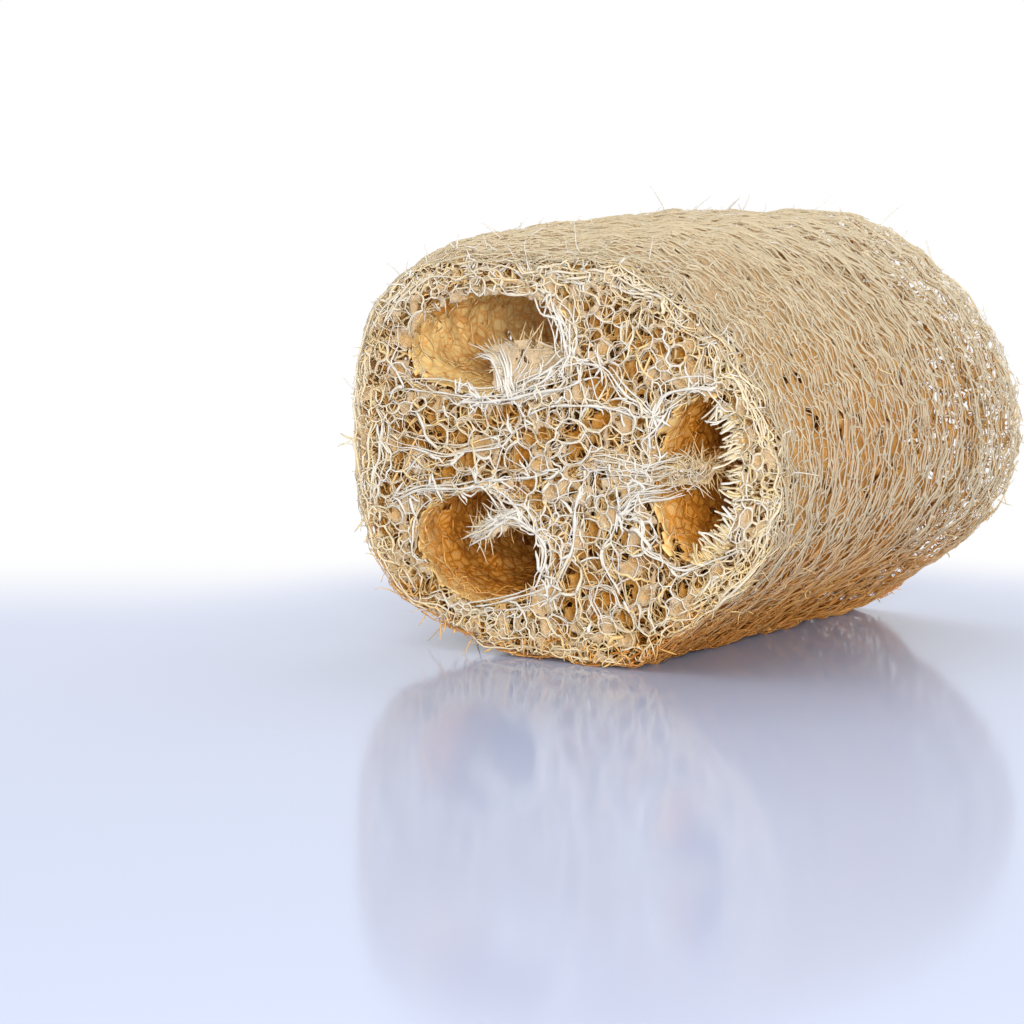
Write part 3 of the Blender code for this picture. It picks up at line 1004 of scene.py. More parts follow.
def face_amber(points):
    """Whitish at the cut, creamier in the wall's edge, and painted warmer a few millimetres in, as painted
    shade and golden glow where less light reaches.
    """
    inward = np.clip(depth_from_cut(points) / (5 * MM), 0, 1)
    return 0.02 + 0.17 * near_wall(points) + 0.62 * inward**1.3


def add_wall_net(fibres, cell, depth, width, turn, thinned, seed, from_cut=None):
    """One net of the wall, this deep under the surface. Round the girth its fibres slant to one side and
    the other in turn, so that nets with other turns cross it at small angles. Up to this share of it is
    left out towards the far end, where the photograph shows light through the wall. Deep nets are thin
    over the channels, which lie right under the wall."""
    rng = np.random.default_rng(seed)
    spots, pairs = net_of_cells(math.tau * MEAN_RADIUS, LENGTH + 4 * WALL_SLANT, cell, 0.40, rng)
    angle = evenly_round_body(spots[:, 0])
    y = spots[:, 1] + WALL_SLANT * np.sin(2 * angle + turn + spots[:, 1] / (25 * MM))
    level = depth + rng.normal(0, 0.3 * MM, len(spots))
    inside = np.abs(y) < LENGTH / 2 - rng.uniform(-0.3 * MM, 1.2 * MM, len(spots))
    inside &= rng.random(len(y)) > thinned * towards_far_end(y)
    if from_cut:
        inside &= rng.random(len(y)) < 1.4 * np.exp((np.abs(y) - LENGTH / 2) / from_cut)
    if depth > 1.5 * MM:
        for channel, reach, kept in zip(CHANNELS, (32, 26, 30), (0.1, 0.25, 0.25)):
            away = np.abs((np.degrees(angle) - channel.bearing + 180) % 360 - 180)
            inside &= (away > reach) | (rng.random(len(y)) < kept)
    points = on_body(angle, np.clip(y, -LENGTH / 2, LENGTH / 2), np.maximum(level, 0.25 * MM))
    fibres.add_net(points, pairs[inside[pairs].all(axis=1)], width, 0.34, 1.5 * MM)


class LOOFAH_OT_hoop_layer(bpy.types.Operator):
    """Nets of fibre laid round the body, one over another"""

    bl_idname = "loofah.hoop_layer"
    bl_label = "Hoop fibre layer"

    def execute(self, context):
        wall = context.scene.loofah_wall
        cream = context.scene.loofah_colours.cream
        material = gourd_fibre("Dried gourd fibre, outer wall", 0.62, 0.55, cream)
        # Name, depth, the cell's length and spacing and the fibre's width as shares of the settings,
        # turn, share left out, least and most amber, seed
        # The deeper nets are painted more amber: partly the flesh's stain, partly painted shade under the
        # nets above them
        layers = (
            ("hoop_net_surface", 0.3 * MM, 0.85, 1.30, 0.95, 0.0, 0.1, 0.20, 0.34, 11),
            ("hoop_net_fine", 0.5 * MM, 0.70, 1.45, 0.66, 1.0, 0.3, 0.24, 0.40, 14),
            ("hoop_net_middle", 1.1 * MM, 1.10, 2.10, 1.00, 2.4, 1.0, 0.42, 0.62, 12),
            ("hoop_net_inner", 2.0 * MM, 1.40, 2.40, 1.30, 4.2, 2.0, 0.52, 0.72, 13),
        )
        for name, depth, longer, wider, thicker, turn, thinned, least, most, seed in layers:
            fibres = Fibres(seed)
            cell = (wall.cell_length * longer, wall.spacing * wider)
            add_wall_net(fibres, cell, depth, wall.fibre_width * thicker, turn, thinned, seed)
            if name == "hoop_net_fine":
                # Close to the cuts the wall is matted with more of the finest fibres
                cell = (wall.cell_length * 0.6, wall.spacing * 0.75)
                width = wall.fibre_width * 0.62
                add_wall_net(fibres, cell, 0.4 * MM, width, 5.0, 0.0, 15, from_cut=6 * MM)
            shade = wall_amber(least, most)
            make_piece(name, fibres, 3, material, ["hoop_fibre_layer"], shade)
        return {"FINISHED"}


class LOOFAH_OT_lengthwise_layer(bpy.types.Operator):
    """Nets of fibre laid along the body, and the felt of hairs between the wall's fibres"""

    bl_idname = "loofah.lengthwise_layer"
    bl_label = "Lengthwise fibre layer"

    def execute(self, context):
        width = context.scene.loofah_wall.fibre_width
        fibres = Fibres(21)
        add_wall_net(fibres, (2.4 * MM, 8.0 * MM), 3.0 * MM, width * 1.1, 0.5, 1.8, 22)
        add_wall_net(fibres, (2.8 * MM, 6.0 * MM), 4.0 * MM, width * 1.3, 3.0, 1.8, 23)
        replaced = ["lengthwise_fibre_layer"]
        material = gourd_fibre("Dried gourd fibre, inner wall", 0.62, 0.4)
        make_piece("lengthwise_net", fibres, 3, material, replaced, wall_amber(0.60, 0.85))
        self.add_felt(["hoop_fibre_layer", "lengthwise_fibre_layer"])
        return {"FINISHED"}

    def add_felt(self, replaced):
        """The wall's felt, torn and pricked where the photograph shows light through the wall."""
        angles = evenly_round_body(np.arange(250) / 250)
        verts, faces = felt_tube(on_body, angles, 125, 1.6 * MM, 0.5, 28)
        share = 0.62 * np.clip((verts[faces[:, 0], 1] + 2 * MM) / (34 * MM), 0, 1)
        faces = faces[np.random.default_rng(29).random(len(faces)) > share]
        # Over the upper channel the wall is thin, and light falls through it onto the lining
        thin = in_channel(CHANNELS[0], verts, 5.0 * MM)
        faces = faces[~thin[faces].any(axis=1)]
        material = matted_film("Dried gourd film, under the wall", 0.34)
        # Painted light and shade: the felt is painted paler at the top, where the light falls, and more
        # amber underneath and deeper in
        shade = wall_amber(0.80, 0.94)(verts) - 0.25 * lit_top(verts)
        make_sheet("wall_felt", verts, faces, shade, material, replaced)


class LOOFAH_OT_channel_linings(bpy.types.Operator):
    """The close net of small cells round each seed channel, and the felt of hairs behind it"""

    bl_idname = "loofah.channel_linings"
    bl_label = "Channel linings"

    def execute(self, context):
        material = gourd_fibre("Dried gourd fibre, channel lining", 0.5, 0.15)
        felts = {
            "upper": felted_skin("Dried gourd felt, thin", 0.32, 0.10),
            "lower": felted_skin("Dried gourd felt, thick", 0.25, 0.22),
            "right": felted_skin("Dried gourd felt, thick", 0.25, 0.22),
        }
        for number, channel in enumerate(CHANNELS):
            replaced = ["channel_lining_" + channel.name]
            fibres = self.lining_fibres(context.scene.loofah_linings, channel, number)
            # Painted shade: lining and felt are painted more amber deeper in from the cut, up to the
            # channel's own amber, which is partly painted light and shade too
            shade = deeper_amber(0.16, channel.amber + 0.16, 0.018)
            name = "lining_net_" + channel.name
            make_piece(name, fibres, 3, material, replaced, shade)
            # The right channel's felt is torn the most
            openness = 2.2 if channel.name == "right" else 1.2
            angles = evenly_round_channel(channel, np.arange(110) / 110)
            place = partial(on_channel, channel)
            verts, faces = felt_tube(place, angles, 96, 0.7 * MM, openness, 55 + number)
            shade = deeper_amber(0.22, channel.amber, 0.015)(verts)
            felt = felts[channel.name]
            make_sheet("felt_" + channel.name, verts, faces, shade, felt, replaced)
        return {"FINISHED"}

    def lining_fibres(self, settings, channel, number):
        """Two nets of fibre round a channel, the second with longer cells and a little further out."""
        fibres = Fibres(31 + number)
        girth = math.pi * (channel.half_width + channel.half_height) * 1.05
        for grow, cell, width, seed in (
            (0.1 * MM, (1.5, 1.7), 0.8, 41),
            (0.7 * MM, (1.6, 3.6), 1.0, 51),
        ):
            rng = np.random.default_rng(seed + number)
            size = (settings.cell_size * cell[0], settings.cell_size * cell[1])
            spots, pairs = net_of_cells(girth, LENGTH, size, 0.34, rng)
            angle = evenly_round_channel(channel, spots[:, 0])
            level = grow + rng.normal(0, 0.3 * MM, len(spots))
            points = on_channel(channel, angle, spots[:, 1], level)
            inside = np.abs(spots[:, 1]) < LENGTH / 2 - rng.uniform(0.2 * MM, 2.5 * MM, len(spots))
            pairs = pairs[inside[pairs].all(axis=1)]
            fibres.add_net(points, pairs, settings.fibre_width * width, 0.3)
        return fibres


class LOOFAH_OT_webs(bpy.types.Operator):
    """The open spongy net of the three webs and of the column at the hub"""

    bl_idname = "loofah.webs"
    bl_label = "Webs and core"

    def execute(self, context):
        sponge = context.scene.loofah_sponge
        points, pairs = sponge_net(sponge.spacing, 61)
        rng = np.random.default_rng(62)
        middle = points[pairs].mean(axis=1)
        # The webs thin out with the wall where they reach it at the far end
        thinned = 0.7 * towards_far_end(middle[:, 1]) * (depth_under(middle) < 12 * MM)
        pairs = pairs[rng.random(len(pairs)) > sponge.missing + thinned]
        middle = points[pairs].mean(axis=1)
        hub_x, hub_z = hub_at(middle[:, 1])
        x, z = middle[:, 0] - hub_x, middle[:, 2] - hub_z
        bearing = np.degrees(np.arctan2(z, x)) % 360
        at_core = np.hypot(x, z) < CORE_RADIUS
        material = gourd_fibre("Dried gourd fibre, spongy web", 0.6, 0.2)
        groups = [("core_net", ["core_column"], at_core)]
        for name, first, second in SEPTA:
            between = (bearing - first) % 360 < second - first
            groups.append(("web_net_" + name, ["septum_" + name], between & ~at_core))
        for number, (name, replaced, chosen) in enumerate(groups):
            fibres = Fibres(63 + number)
            fibres.add_net(points, pairs[chosen], sponge.fibre_width, 0.35, 1.2 * MM, bow=0.12)
            make_piece(name, fibres, 3, material, replaced, deeper_amber(0.30, 0.85, 0.008))
        return {"FINISHED"}


class LOOFAH_OT_axial_cords(bpy.types.Operator):
    """The thick bundles of fibre that run along inside the core"""

    bl_idname = "loofah.axial_cords"
    bl_label = "Axial cords"

    def execute(self, context):
        material = gourd_fibre("Dried gourd fibre, thick bundle", 0.6, 0.4)
        y = np.linspace(-LENGTH / 2 + 0.5 * MM, LENGTH / 2 - 0.5 * MM, 19)
        for number, (name, first, second) in enumerate(SEPTA):
            fibres = Fibres(71 + number)
            hub_x, hub_z = hub_at(y)
            across, up = turned(CORD_FROM_HUB, 0.0, (first + second) / 2)
            for lay in range(9):
                rng = fibres.rng
                spin = rng.uniform(0, math.tau) + y / LENGTH * rng.uniform(2, 5)
                radius = CORD_RADIUS * rng.uniform(0.2, 0.95) * (1 + 0.3 * np.sin(y * 180 + lay))
                x = hub_x + across + radius * np.cos(spin)
                z = hub_z + up + radius * np.sin(spin)
                fibres.add(points_at(x, y, z), 0.5 * MM, 2.0 * MM, (0.6, 0.6))
            replaced = ["axial_cord_" + name]
            shade = deeper_amber(0.0, 0.5, 0.02)
            make_piece("cord_" + name, fibres, 4, material, replaced, shade)
        return {"FINISHED"}


class LOOFAH_OT_seed_ridges(bpy.types.Operator):
    """The frayed tongue along each channel that the seeds hung from"""

    bl_idname = "loofah.seed_ridges"
    bl_label = "Seed ridges"

    def execute(self, context):
        material = gourd_fibre("Dried gourd fibre, seed ridge", 0.6, 0.35)
        for number, channel in enumerate(CHANNELS):
            fibres = Fibres(81 + number)
            self.add_tongue_nets(fibres, channel)
            self.add_tip_hairs(fibres, channel)
            self.add_veil_curls(fibres, VEILS[channel.name])
            replaced = ["seed_ridge_" + channel.name]
            shade = deeper_amber(0.02, 0.7, 0.018)
            make_piece("ridge_" + channel.name, fibres, 4, material, replaced, shade)
        for number, name in enumerate(VEILS):
            self.add_veil(name, VEILS[name], 86 + number)
        return {"FINISHED"}

    def add_tongue_nets(self, fibres, channel):
        """Three nets side by side, from a little under the lining out to the tongue's tip."""
        rng = fibres.rng
        height, root = 0.030, 0.002
        for side in (-0.8 * MM, 0.0, 0.8 * MM):
            spots, pairs = net_of_cells(height, LENGTH, (2.0 * MM, 3.2 * MM), 0.28, rng, joined=False)
            out = spots[:, 0] * height - root
            inside = (out > -root) & (out < channel.ridge - rng.uniform(0, 2.5 * MM, len(out)))
            inside &= np.abs(spots[:, 1]) < LENGTH / 2 - rng.uniform(0, 3 * MM, len(out))
            sway = side * (1.2 - out / channel.ridge * 0.7)
            sway = sway + 0.8 * MM * np.sin(spots[:, 1] * 260 + out * 300)
            points = ridge_points(channel, out, sway, spots[:, 1])
            fibres.add_net(points, pairs[inside[pairs].all(axis=1)], 0.36 * MM, 0.3)

    def add_tip_hairs(self, fibres, channel):
        """Hairs along the frayed tip, closest at the front cut face."""
        rng = fibres.rng
        y = np.concatenate([rng.uniform(-0.044, 0.044, 260), rng.uniform(-0.0445, -0.030, 160)])
        out = channel.ridge * rng.uniform(0.25, 0.95, len(y))
        side = rng.normal(0, 0.8 * MM, len(y))
        roots = ridge_points(channel, out, side, y)
        tips = ridge_points(channel, out + 1.0 * MM, side + rng.normal(0, 1.3 * MM, len(y)), y)
        heading = tips - roots
        heading[:, 1] -= rng.uniform(-0.3, 0.8, len(y)) * MM
        fibres.add_hairs(roots, unit(heading), 1.8 * MM, 0.22 * MM, 0.60)

    def add_veil_curls(self, fibres, veil):
        """Curls along the upper edge of a veil."""
        rng = fibres.rng
        at = rng.uniform(0, 1, 110)
        t = np.linspace(0, 1, len(veil.upper))
        x, z = (np.interp(at, t, np.array(veil.upper)[:, i]) * MM for i in (0, 1))
        z = z - rng.uniform(0, 1.6, len(at)) * MM
        y = np.interp(at, t, veil.deep) * MM + rng.uniform(0.5, 2.5, len(at)) * MM - LENGTH / 2
        roots = on_face(x, z, y)
        heading = unit(rng.normal(0, 0.6, roots.shape) + (0.0, -0.2, 0.5))
        fibres.add_hairs(roots, heading, 1.4 * MM, 0.20 * MM, 1.1)

    def add_veil(self, name, veil, seed):
        """A thin torn sheet between two edges at a channel's mouth, whitish at its root."""
        columns, rows = 60, 24
        grid = np.meshgrid(np.linspace(0, 1, columns), np.linspace(0, 1, rows))
        along, up = (share.ravel() for share in grid)
        t = np.linspace(0, 1, len(veil.lower))
        lower, upper = np.array(veil.lower) * MM, np.array(veil.upper) * MM
        x, z = (
            np.interp(along, t, lower[:, i]) * (1 - up) + np.interp(along, t, upper[:, i]) * up
            for i in (0, 1)
        )
        y = np.interp(along, t, np.array(veil.deep) * MM) + 2.0 * MM * up**2 - LENGTH / 2
        flat = on_face(x, z, y)
        waved = flat + drift(flat, 4 * MM, 0.45 * MM, seed)
        verts = crinkled(waved + drift(flat, 1.6 * MM, 0.12 * MM, seed))
        tear = drift(flat, 2.2 * MM, 1.0, seed + 3)[:, 1]
        from_edge = np.minimum.reduce([1 - up, 1.5 * up, 3 * along, 1.5 * (1 - along)])
        torn = tear > 0.5 + from_edge * 2.4
        torn |= tear < -1.3
        grid = np.meshgrid(np.arange(rows - 1) * columns, np.arange(columns - 1))
        corner = (grid[0] + grid[1]).ravel()
        faces = np.stack([corner, corner + 1, corner + columns + 1, corner + columns], axis=1)
        faces = faces[~torn[faces].any(axis=1)]
        shade = veil.amber + 0.25 * along**2 + 0.15 * up
        felt = matted_film("Dried gourd film, veil", 0.12)
        make_sheet("veil_" + name, verts, faces, shade, felt, ["seed_ridge_" + name])


class LOOFAH_OT_cut_faces(bpy.types.Operator):
    """The white net, trunks and rims on the two cut faces"""

    bl_idname = "loofah.cut_faces"
    bl_label = "Cut faces"

    def execute(self, context):
        settings = context.scene.loofah_cut_faces
        material = gourd_fibre("Dried gourd fibre, cut face", 0.58, 0.25)
        replaced = ["core_column", "septum_left", "septum_bottom", "septum_top"]
        for number, (name, end) in enumerate((("front", -1), ("back", 1))):
            fibres = Fibres(91 + number)
            seeds = self.cell_seeds(fibres.rng, settings.cell_size)
            self.add_cells(fibres, seeds, end, settings, 0.5 * MM, 1.0)
            self.add_runners(fibres, end, settings, 200)
            self.add_trunks(fibres, end, settings)
            self.add_rims(fibres, end)
            make_piece("cut_face_net_" + name, fibres, 4, material, replaced, face_amber)
            # On the back the films stop short of the wall, which the photograph shows light through
            edge = 1.0 * MM if end < 0 else 8.0 * MM
            self.add_film("film_" + name, seeds, end, 1.0 * MM, 0.32, 0.24, edge, replaced)
            fibres = Fibres(93 + number)
            seeds = self.cell_seeds(fibres.rng, settings.cell_size * 0.9)
            self.add_cells(fibres, seeds, end, settings, 1.7 * MM, 0.8)
            seeds = self.cell_seeds(fibres.rng, settings.cell_size * 1.15)
            self.add_cells(fibres, seeds, end, settings, 3.4 * MM, 0.95, ringed=False)
            # Painted shade and glow: the deep film, 4.2 mm in, is painted golden and closes the open pits, a
            # golden sheet at the bottom of each pit for the shaded, glowing depth of the web
            deep_name = "deep_film_" + name
            self.add_film(deep_name, seeds, end, 4.2 * MM, 0.45, 0.75, edge, replaced, pit_reach=9.0)
            make_piece("cut_face_depth_" + name, fibres, 3, material, replaced, face_amber)
        return {"FINISHED"}

    def add_film(self, name, seeds, end, inward, closed, amber, edge, replaced, pit_reach=0.1):
        """A film of matted hairs that fills the net between its openings. It sinks between the fibres, is
        whitish beside them, and leaves open all but this share of the cells. Where it fills a cell it is
        torn in small spots."""
        rng = np.random.default_rng(len(seeds))
        step = 0.45 * MM
        x, z = np.meshgrid(np.arange(-0.052, 0.052, step), np.arange(0.0, 0.083, step))
        shape = x.shape
        x, z = x.ravel(), z.ravel()
        tree = tree_of([(*seed, 0.0) for seed in seeds])
        nearest = [tree.find_n((*spot, 0.0), 2) for spot in zip(x, z)]
        first, second = (np.array([found[i][1] for found in nearest]) for i in (0, 1))
        away, further = (np.array([found[i][2] for found in nearest]) for i in (0, 1))
        apart = np.linalg.norm(seeds[first] - seeds[second], axis=1)
        from_fibre = (further**2 - away**2) / (2 * apart)
        # The film reaches this far into each cell from the fibres round it
        reach = np.where(rng.random(len(seeds)) < closed, 9.0, rng.uniform(0.10, 0.55, len(seeds))) * MM
        reach[: len(PITS)] = pit_reach * MM
        flat = points_at(x, -LENGTH / 2, z)
        margin = reach[first] - from_fibre + drift(flat, 2.5 * MM, 0.18 * MM, 18)[:, 0]
        margin = np.minimum(margin, 0.75 * MM - drift(flat, 2.0 * MM, 0.9 * MM, 24)[:, 0])
        margin = np.minimum(margin, depth_under(flat) - edge)
        for channel in CHANNELS:
            middle_x, middle_z = channel_middle(channel)
            from_middle = x - CENTRING_SHIFT - middle_x, z - FRONT_MIDDLE - middle_z
            across, up = turned(*from_middle, -channel.tilt)
            out = np.hypot(across / channel.half_width, up / channel.half_height) - 1
            margin = np.minimum(margin, out * channel.half_height - 0.4 * MM)
        # Points beside the film's edge move onto it, which makes the edge smooth
        steep_z, steep_x = (slope.ravel() for slope in np.gradient(margin.reshape(shape), step))
        steep = np.hypot(steep_x, steep_z) + 0.05
        beside = np.abs(margin) < 0.6 * step * steep
        x = x - np.where(beside, margin / steep**2 * steep_x, 0)
        z = z - np.where(beside, margin / steep**2 * steep_z, 0)
        verts = on_face(x, z, np.full(len(x), end * LENGTH / 2))
        level = inward + face_roll(verts) + drift(verts, 1.8 * MM, 0.3 * MM, 16)[:, 0]
        verts[:, 1] -= end * np.maximum(level + 0.9 * np.minimum(from_fibre, 1.4 * MM), 0.4 * MM)
        corner = np.arange(len(x)).reshape(shape)
        faces = np.stack([corner[:-1, :-1], corner[:-1, 1:], corner[1:, 1:], corner[1:, :-1]], axis=2)
        faces = faces.reshape(-1, 4)
        faces = faces[(margin > -0.6 * step * steep)[faces].all(axis=1)]
        # Painted shade: the film is painted more golden away from the fibres, where it sinks deepest between
        # them
        shade = amber + 0.32 * np.clip(from_fibre / (1.1 * MM), 0, 1)
        film = matted_film("Dried gourd film", 0.22)
        make_sheet(name, crinkled(verts), faces, shade, film, replaced)

    def cell_seeds(self, rng, size):
        """Where the cells of the front face stand: the open pits first, then others of all sizes scattered
        between them, closer together in the wall's edge. The cells are drawn out along the webs, away from
        the hub, and round the body in the wall's edge."""
        places = np.array([(x * MM, z * MM, 4.6 * radius * MM - 0.8 * size) for x, z, radius in PITS])
        x, z = rng.uniform(-0.055, 0.055, 14000), rng.uniform(-0.005, 0.087, 14000)
        depth = depth_under(points_at(x, -LENGTH / 2, z))
        in_edge = depth < 5.5 * MM
        flat = points_at(x, 0.0, z)
        patchy = np.exp(np.clip(drift(flat, 13 * MM, 0.32, 19)[:, 0], -0.5, 0.5))
        patchy = patchy * np.exp(rng.normal(0, 0.30, len(x)))
        apart = np.where(in_edge, 0.60, 0.84) * size * patchy
        hub_x, hub_z = hub_at(-LENGTH / 2)
        heading = np.arctan2(z - hub_z, x - hub_x) + drift(flat, 16 * MM, 0.35, 20)[:, 0]
        heading = heading + np.where(in_edge, math.pi / 2, 0.0)
        inside = depth > -4 * MM
        drawn_out = 1.3
        for spot in zip(x[inside], z[inside], apart[inside], heading[inside]):
            out_x, out_z = places[:, 0] - spot[0], places[:, 1] - spot[1]
            along = out_x * math.cos(spot[3]) + out_z * math.sin(spot[3])
            across = out_z * math.cos(spot[3]) - out_x * math.sin(spot[3])
            away = np.hypot(along / drawn_out, across * drawn_out)
            if (away > (places[:, 2] + spot[2]) / 2).all():
                places = np.vstack([places, spot[:3]])
        return places[:, :2]

    def add_cells(self, fibres, seeds, end, settings, inward, thicker, ringed=True):
        """A net of cells over a cut face. Fibres run along the cells' edges, and some cells have their own
        thin ring of fibre too, which rounds the cell and webs the net's corners."""
        rng = fibres.rng
        points, cells = face_cells(seeds, end)
        level = inward + face_roll(points) + rng.normal(0, 0.4 * MM, len(points))
        points[:, 1] -= end * np.maximum(level, 0.3 * MM)
        inside = (depth_under(points) > 0.4 * MM) & clear_of_channels(points, 0.3 * MM)
        pairs = cell_edges(cells)
        pairs = pairs[inside[pairs].all(axis=1)]
        width = settings.fibre_width * thicker
        fibres.add_net(points, pairs, width * 0.9, 0.38, 0.9 * MM, bow=0.08)
        if not ringed:
            return
        for number, cell in cells:
            ring = points[cell]
            size = width * 0.60 * float(np.exp(rng.normal(0, 0.3)))
            if rng.random() < 0.70:
                continue
            middles = (ring + np.roll(ring, -1, axis=0)) / 2
            rounded = (np.roll(middles, 1, axis=0) + 2 * ring + middles) / 4
            run = np.stack([rounded, middles], axis=1).reshape(-1, 3)
            shown = np.repeat(inside[cell], 2)
            if shown.all():
                fibres.add(np.vstack([run, run[:2]]), size, 0.9 * MM)
                if number >= len(PITS) and rng.random() < 0.35:
                    # A thin fibre that crosses the cell a little behind its ring
                    start = rng.integers(len(run) // 2)
                    ends = run[start], run[start + len(ring)]
                    sunk = (ends[0] + ends[1]) / 2 + rng.normal(0, 0.25 * MM, 3)
                    sunk[1] -= end * rng.uniform(0.2, 1.2) * MM
                    fibres.add(np.array([ends[0], sunk, ends[1]]), 0.20 * MM, 0.9 * MM)
            elif shown.any():
                # Only the part of the ring that lies in the material
                turn = int(np.flatnonzero(~shown)[0])
                run, shown = np.roll(run, -turn, axis=0), np.roll(shown, -turn)
                edges = np.flatnonzero(np.diff(shown.astype(int), prepend=0, append=0))
                for first, last in zip(edges[::2], edges[1::2]):
                    if last - first > 2:
                        fibres.add(run[first:last], size, 0.9 * MM, (0.9, 0.9))

    def face_points(self, rng, end, inward, spacing):
        """Points scattered over a cut face, about this deep in from the cut."""
        side = np.arange(-0.055, 0.056, spacing)
        up = np.arange(-0.004, 0.086, spacing)
        x, z = (grid.ravel() for grid in np.meshgrid(side, up))
        x = x + rng.uniform(-0.5, 0.5, len(x)) * spacing
        z = z + rng.uniform(-0.5, 0.5, len(z)) * spacing
        points = on_face(x, z, np.full(len(x), end * LENGTH / 2))
        level = inward + face_roll(points) + rng.normal(0, 0.45 * MM, len(x))
        points[:, 1] -= end * np.maximum(level, 0.3 * MM)
        return round_the_pits(points)

    def add_runners(self, fibres, end, settings, count):
        """Long smooth fibres that run across the face through the net, each in a shallow arc."""
        rng = fibres.rng
        # As many as make this count in a square of 110 mm
        starts = self.face_points(rng, end, 0.4 * MM, 0.110 / math.sqrt(count))
        steps = 9
        for start in starts[in_webs(starts)]:
            angle = rng.uniform(0, math.tau)
            reach = rng.uniform(8, 24) * MM
            t = np.linspace(0, 1, steps)
            turning = angle + rng.normal(0, 0.5) * t + rng.normal(0, 0.25) * np.sin(t * math.tau)
            run = np.stack([np.cos(turning), 0 * t, np.sin(turning)], axis=1)
            points = start + np.cumsum(run, axis=0) * reach / steps
            points[:, 1] -= end * rng.uniform(0, 2.5) * MM * np.sin(t * rng.uniform(1.5, 5.0)) ** 2
            points = round_the_pits(points)
            outside = np.flatnonzero(~in_webs(points))
            points = points[: outside[0]] if len(outside) else points
            if len(points) > 3:
                size = settings.fibre_width * rng.uniform(0.5, 1.1)
                fibres.add(points, size, 1.4 * MM, (0.7, 0.4), tone=rng.uniform(-1, 0))

    def add_bundle(self, fibres, path, end, count, spread, width, deep, fray=0.0, swelling=0.0, tips=None):
        """Fibres that run together along a path on the cut face, spreading at its tip where it is frayed,
        and swelling by this share at the path's places."""
        rng = fibres.rng
        tips = tips or (0.7, 0.4 if fray else 0.6)
        places = np.array(path) * MM
        t = np.linspace(0, 1, len(places))
        for _ in range(count):
            last = rng.uniform(0.75, 1.04) if fray else 1.0
            at = np.linspace(0 if fray else rng.uniform(0, 0.15), last, len(places) + 2)
            beyond = np.maximum(at - 1, 0)[:, None] * (places[-1] - places[0])
            x, z = (np.interp(at, t, places[:, i]) + beyond[:, i] for i in (0, 1))
            away = rng.normal(0, spread, 2) + rng.normal(0, fray, 2) * at[:, None] ** 2
            away = away + rng.normal(0, 0.25 * spread, (len(at), 2))
            inward = np.abs(rng.normal(0.3 * deep, 0.4 * deep)) + rng.normal(0, 0.2 * MM, len(at))
            inward = np.maximum(inward, 0.3 * MM)
            points = on_face(x + away[:, 0], z + away[:, 1], end * (LENGTH / 2 - inward))
            size = width * rng.uniform(0.6, 1.25)
            flare = 1 + swelling * np.cos(math.tau * np.linspace(0, len(places) - 1, 8 * len(places)))
            fibres.add(points, size, 1.2 * MM, tips, tone=rng.uniform(-1, -0.2), flare=flare)

    def add_trunks(self, fibres, end, settings):
        """Thick curved fibres across the face, and the frayed tongues at the channels' mouths."""
        rng = fibres.rng
        width = settings.trunk_width
        for trunk in TRUNKS:
            self.add_bundle(fibres, trunk, end, 1, 0.2 * MM, width * 0.65, 1.0 * MM, swelling=0.35)
            self.add_bundle(fibres, trunk, end, 2, 0.9 * MM, width * 0.4, 2.5 * MM)
            # Branches that leave the trunk thick and thin out into the net
            for x, z in trunk:
                for _ in range(rng.integers(1, 4)):
                    angle, reach = rng.uniform(0, math.tau), rng.uniform(2.0, 5.0)
                    turning = angle + rng.normal(0, 0.35) * np.array([0.0, 0.5, 1.0, 1.5])
                    out = reach * np.array([0.0, 0.33, 0.67, 1.0])
                    path = [(x + o * math.cos(a), z + o * math.sin(a)) for o, a in zip(out, turning)]
                    thin = width * 0.62
                    self.add_bundle(fibres, path, end, 1, 0.1 * MM, thin, 1.5 * MM, tips=(1.0, 0.3))
        for tongue, count, spread, fray in TONGUES:
            # The tongues that hold together are of thicker fibre
            width = settings.fibre_width * (1.7 if fray < 0.4 else 1.0)
            self.add_bundle(fibres, tongue, end, count, spread * MM, width, 3.5 * MM, fray * MM)

    def add_rims(self, fibres, end):
        """Uneven strands in short runs round the mouth of each channel and round the edge of the wall."""
        rng = fibres.rng
        steps = np.linspace(0, 1, 7)
        for channel in CHANNELS:
            for _ in range(12):
                start, run = rng.uniform(0, 1), rng.uniform(0.08, 0.26)
                angle = evenly_round_channel(channel, start + run * steps)
                y = end * (LENGTH / 2 - np.abs(rng.normal(0.8, 0.9, len(steps))) * MM)
                grow = rng.uniform(0.2, 3.4) * MM + rng.normal(0, 0.6 * MM, len(steps))
                points = on_channel(channel, angle, y, grow)
                fibres.add(points, rng.uniform(0.28, 0.48) * MM, 1.3 * MM, (0.5, 0.5), tone=-0.3)
        for _ in range(80 if end < 0 else 45):
            start, run = rng.uniform(0, 1), rng.uniform(0.03, 0.10)
            angle = evenly_round_body(start + run * steps, -LENGTH / 2)
            y = end * (LENGTH / 2 - np.abs(rng.normal(0.8, 0.9, len(steps))) * MM)
            depth = rng.uniform(0.4, 4.4) * MM + rng.normal(0, 0.5 * MM, len(steps))
            points = on_body(angle, y, np.maximum(depth, 0.3 * MM))
            fibres.add(points, rng.uniform(0.32, 0.58) * MM, 1.4 * MM, (0.5, 0.5), tone=-0.4)


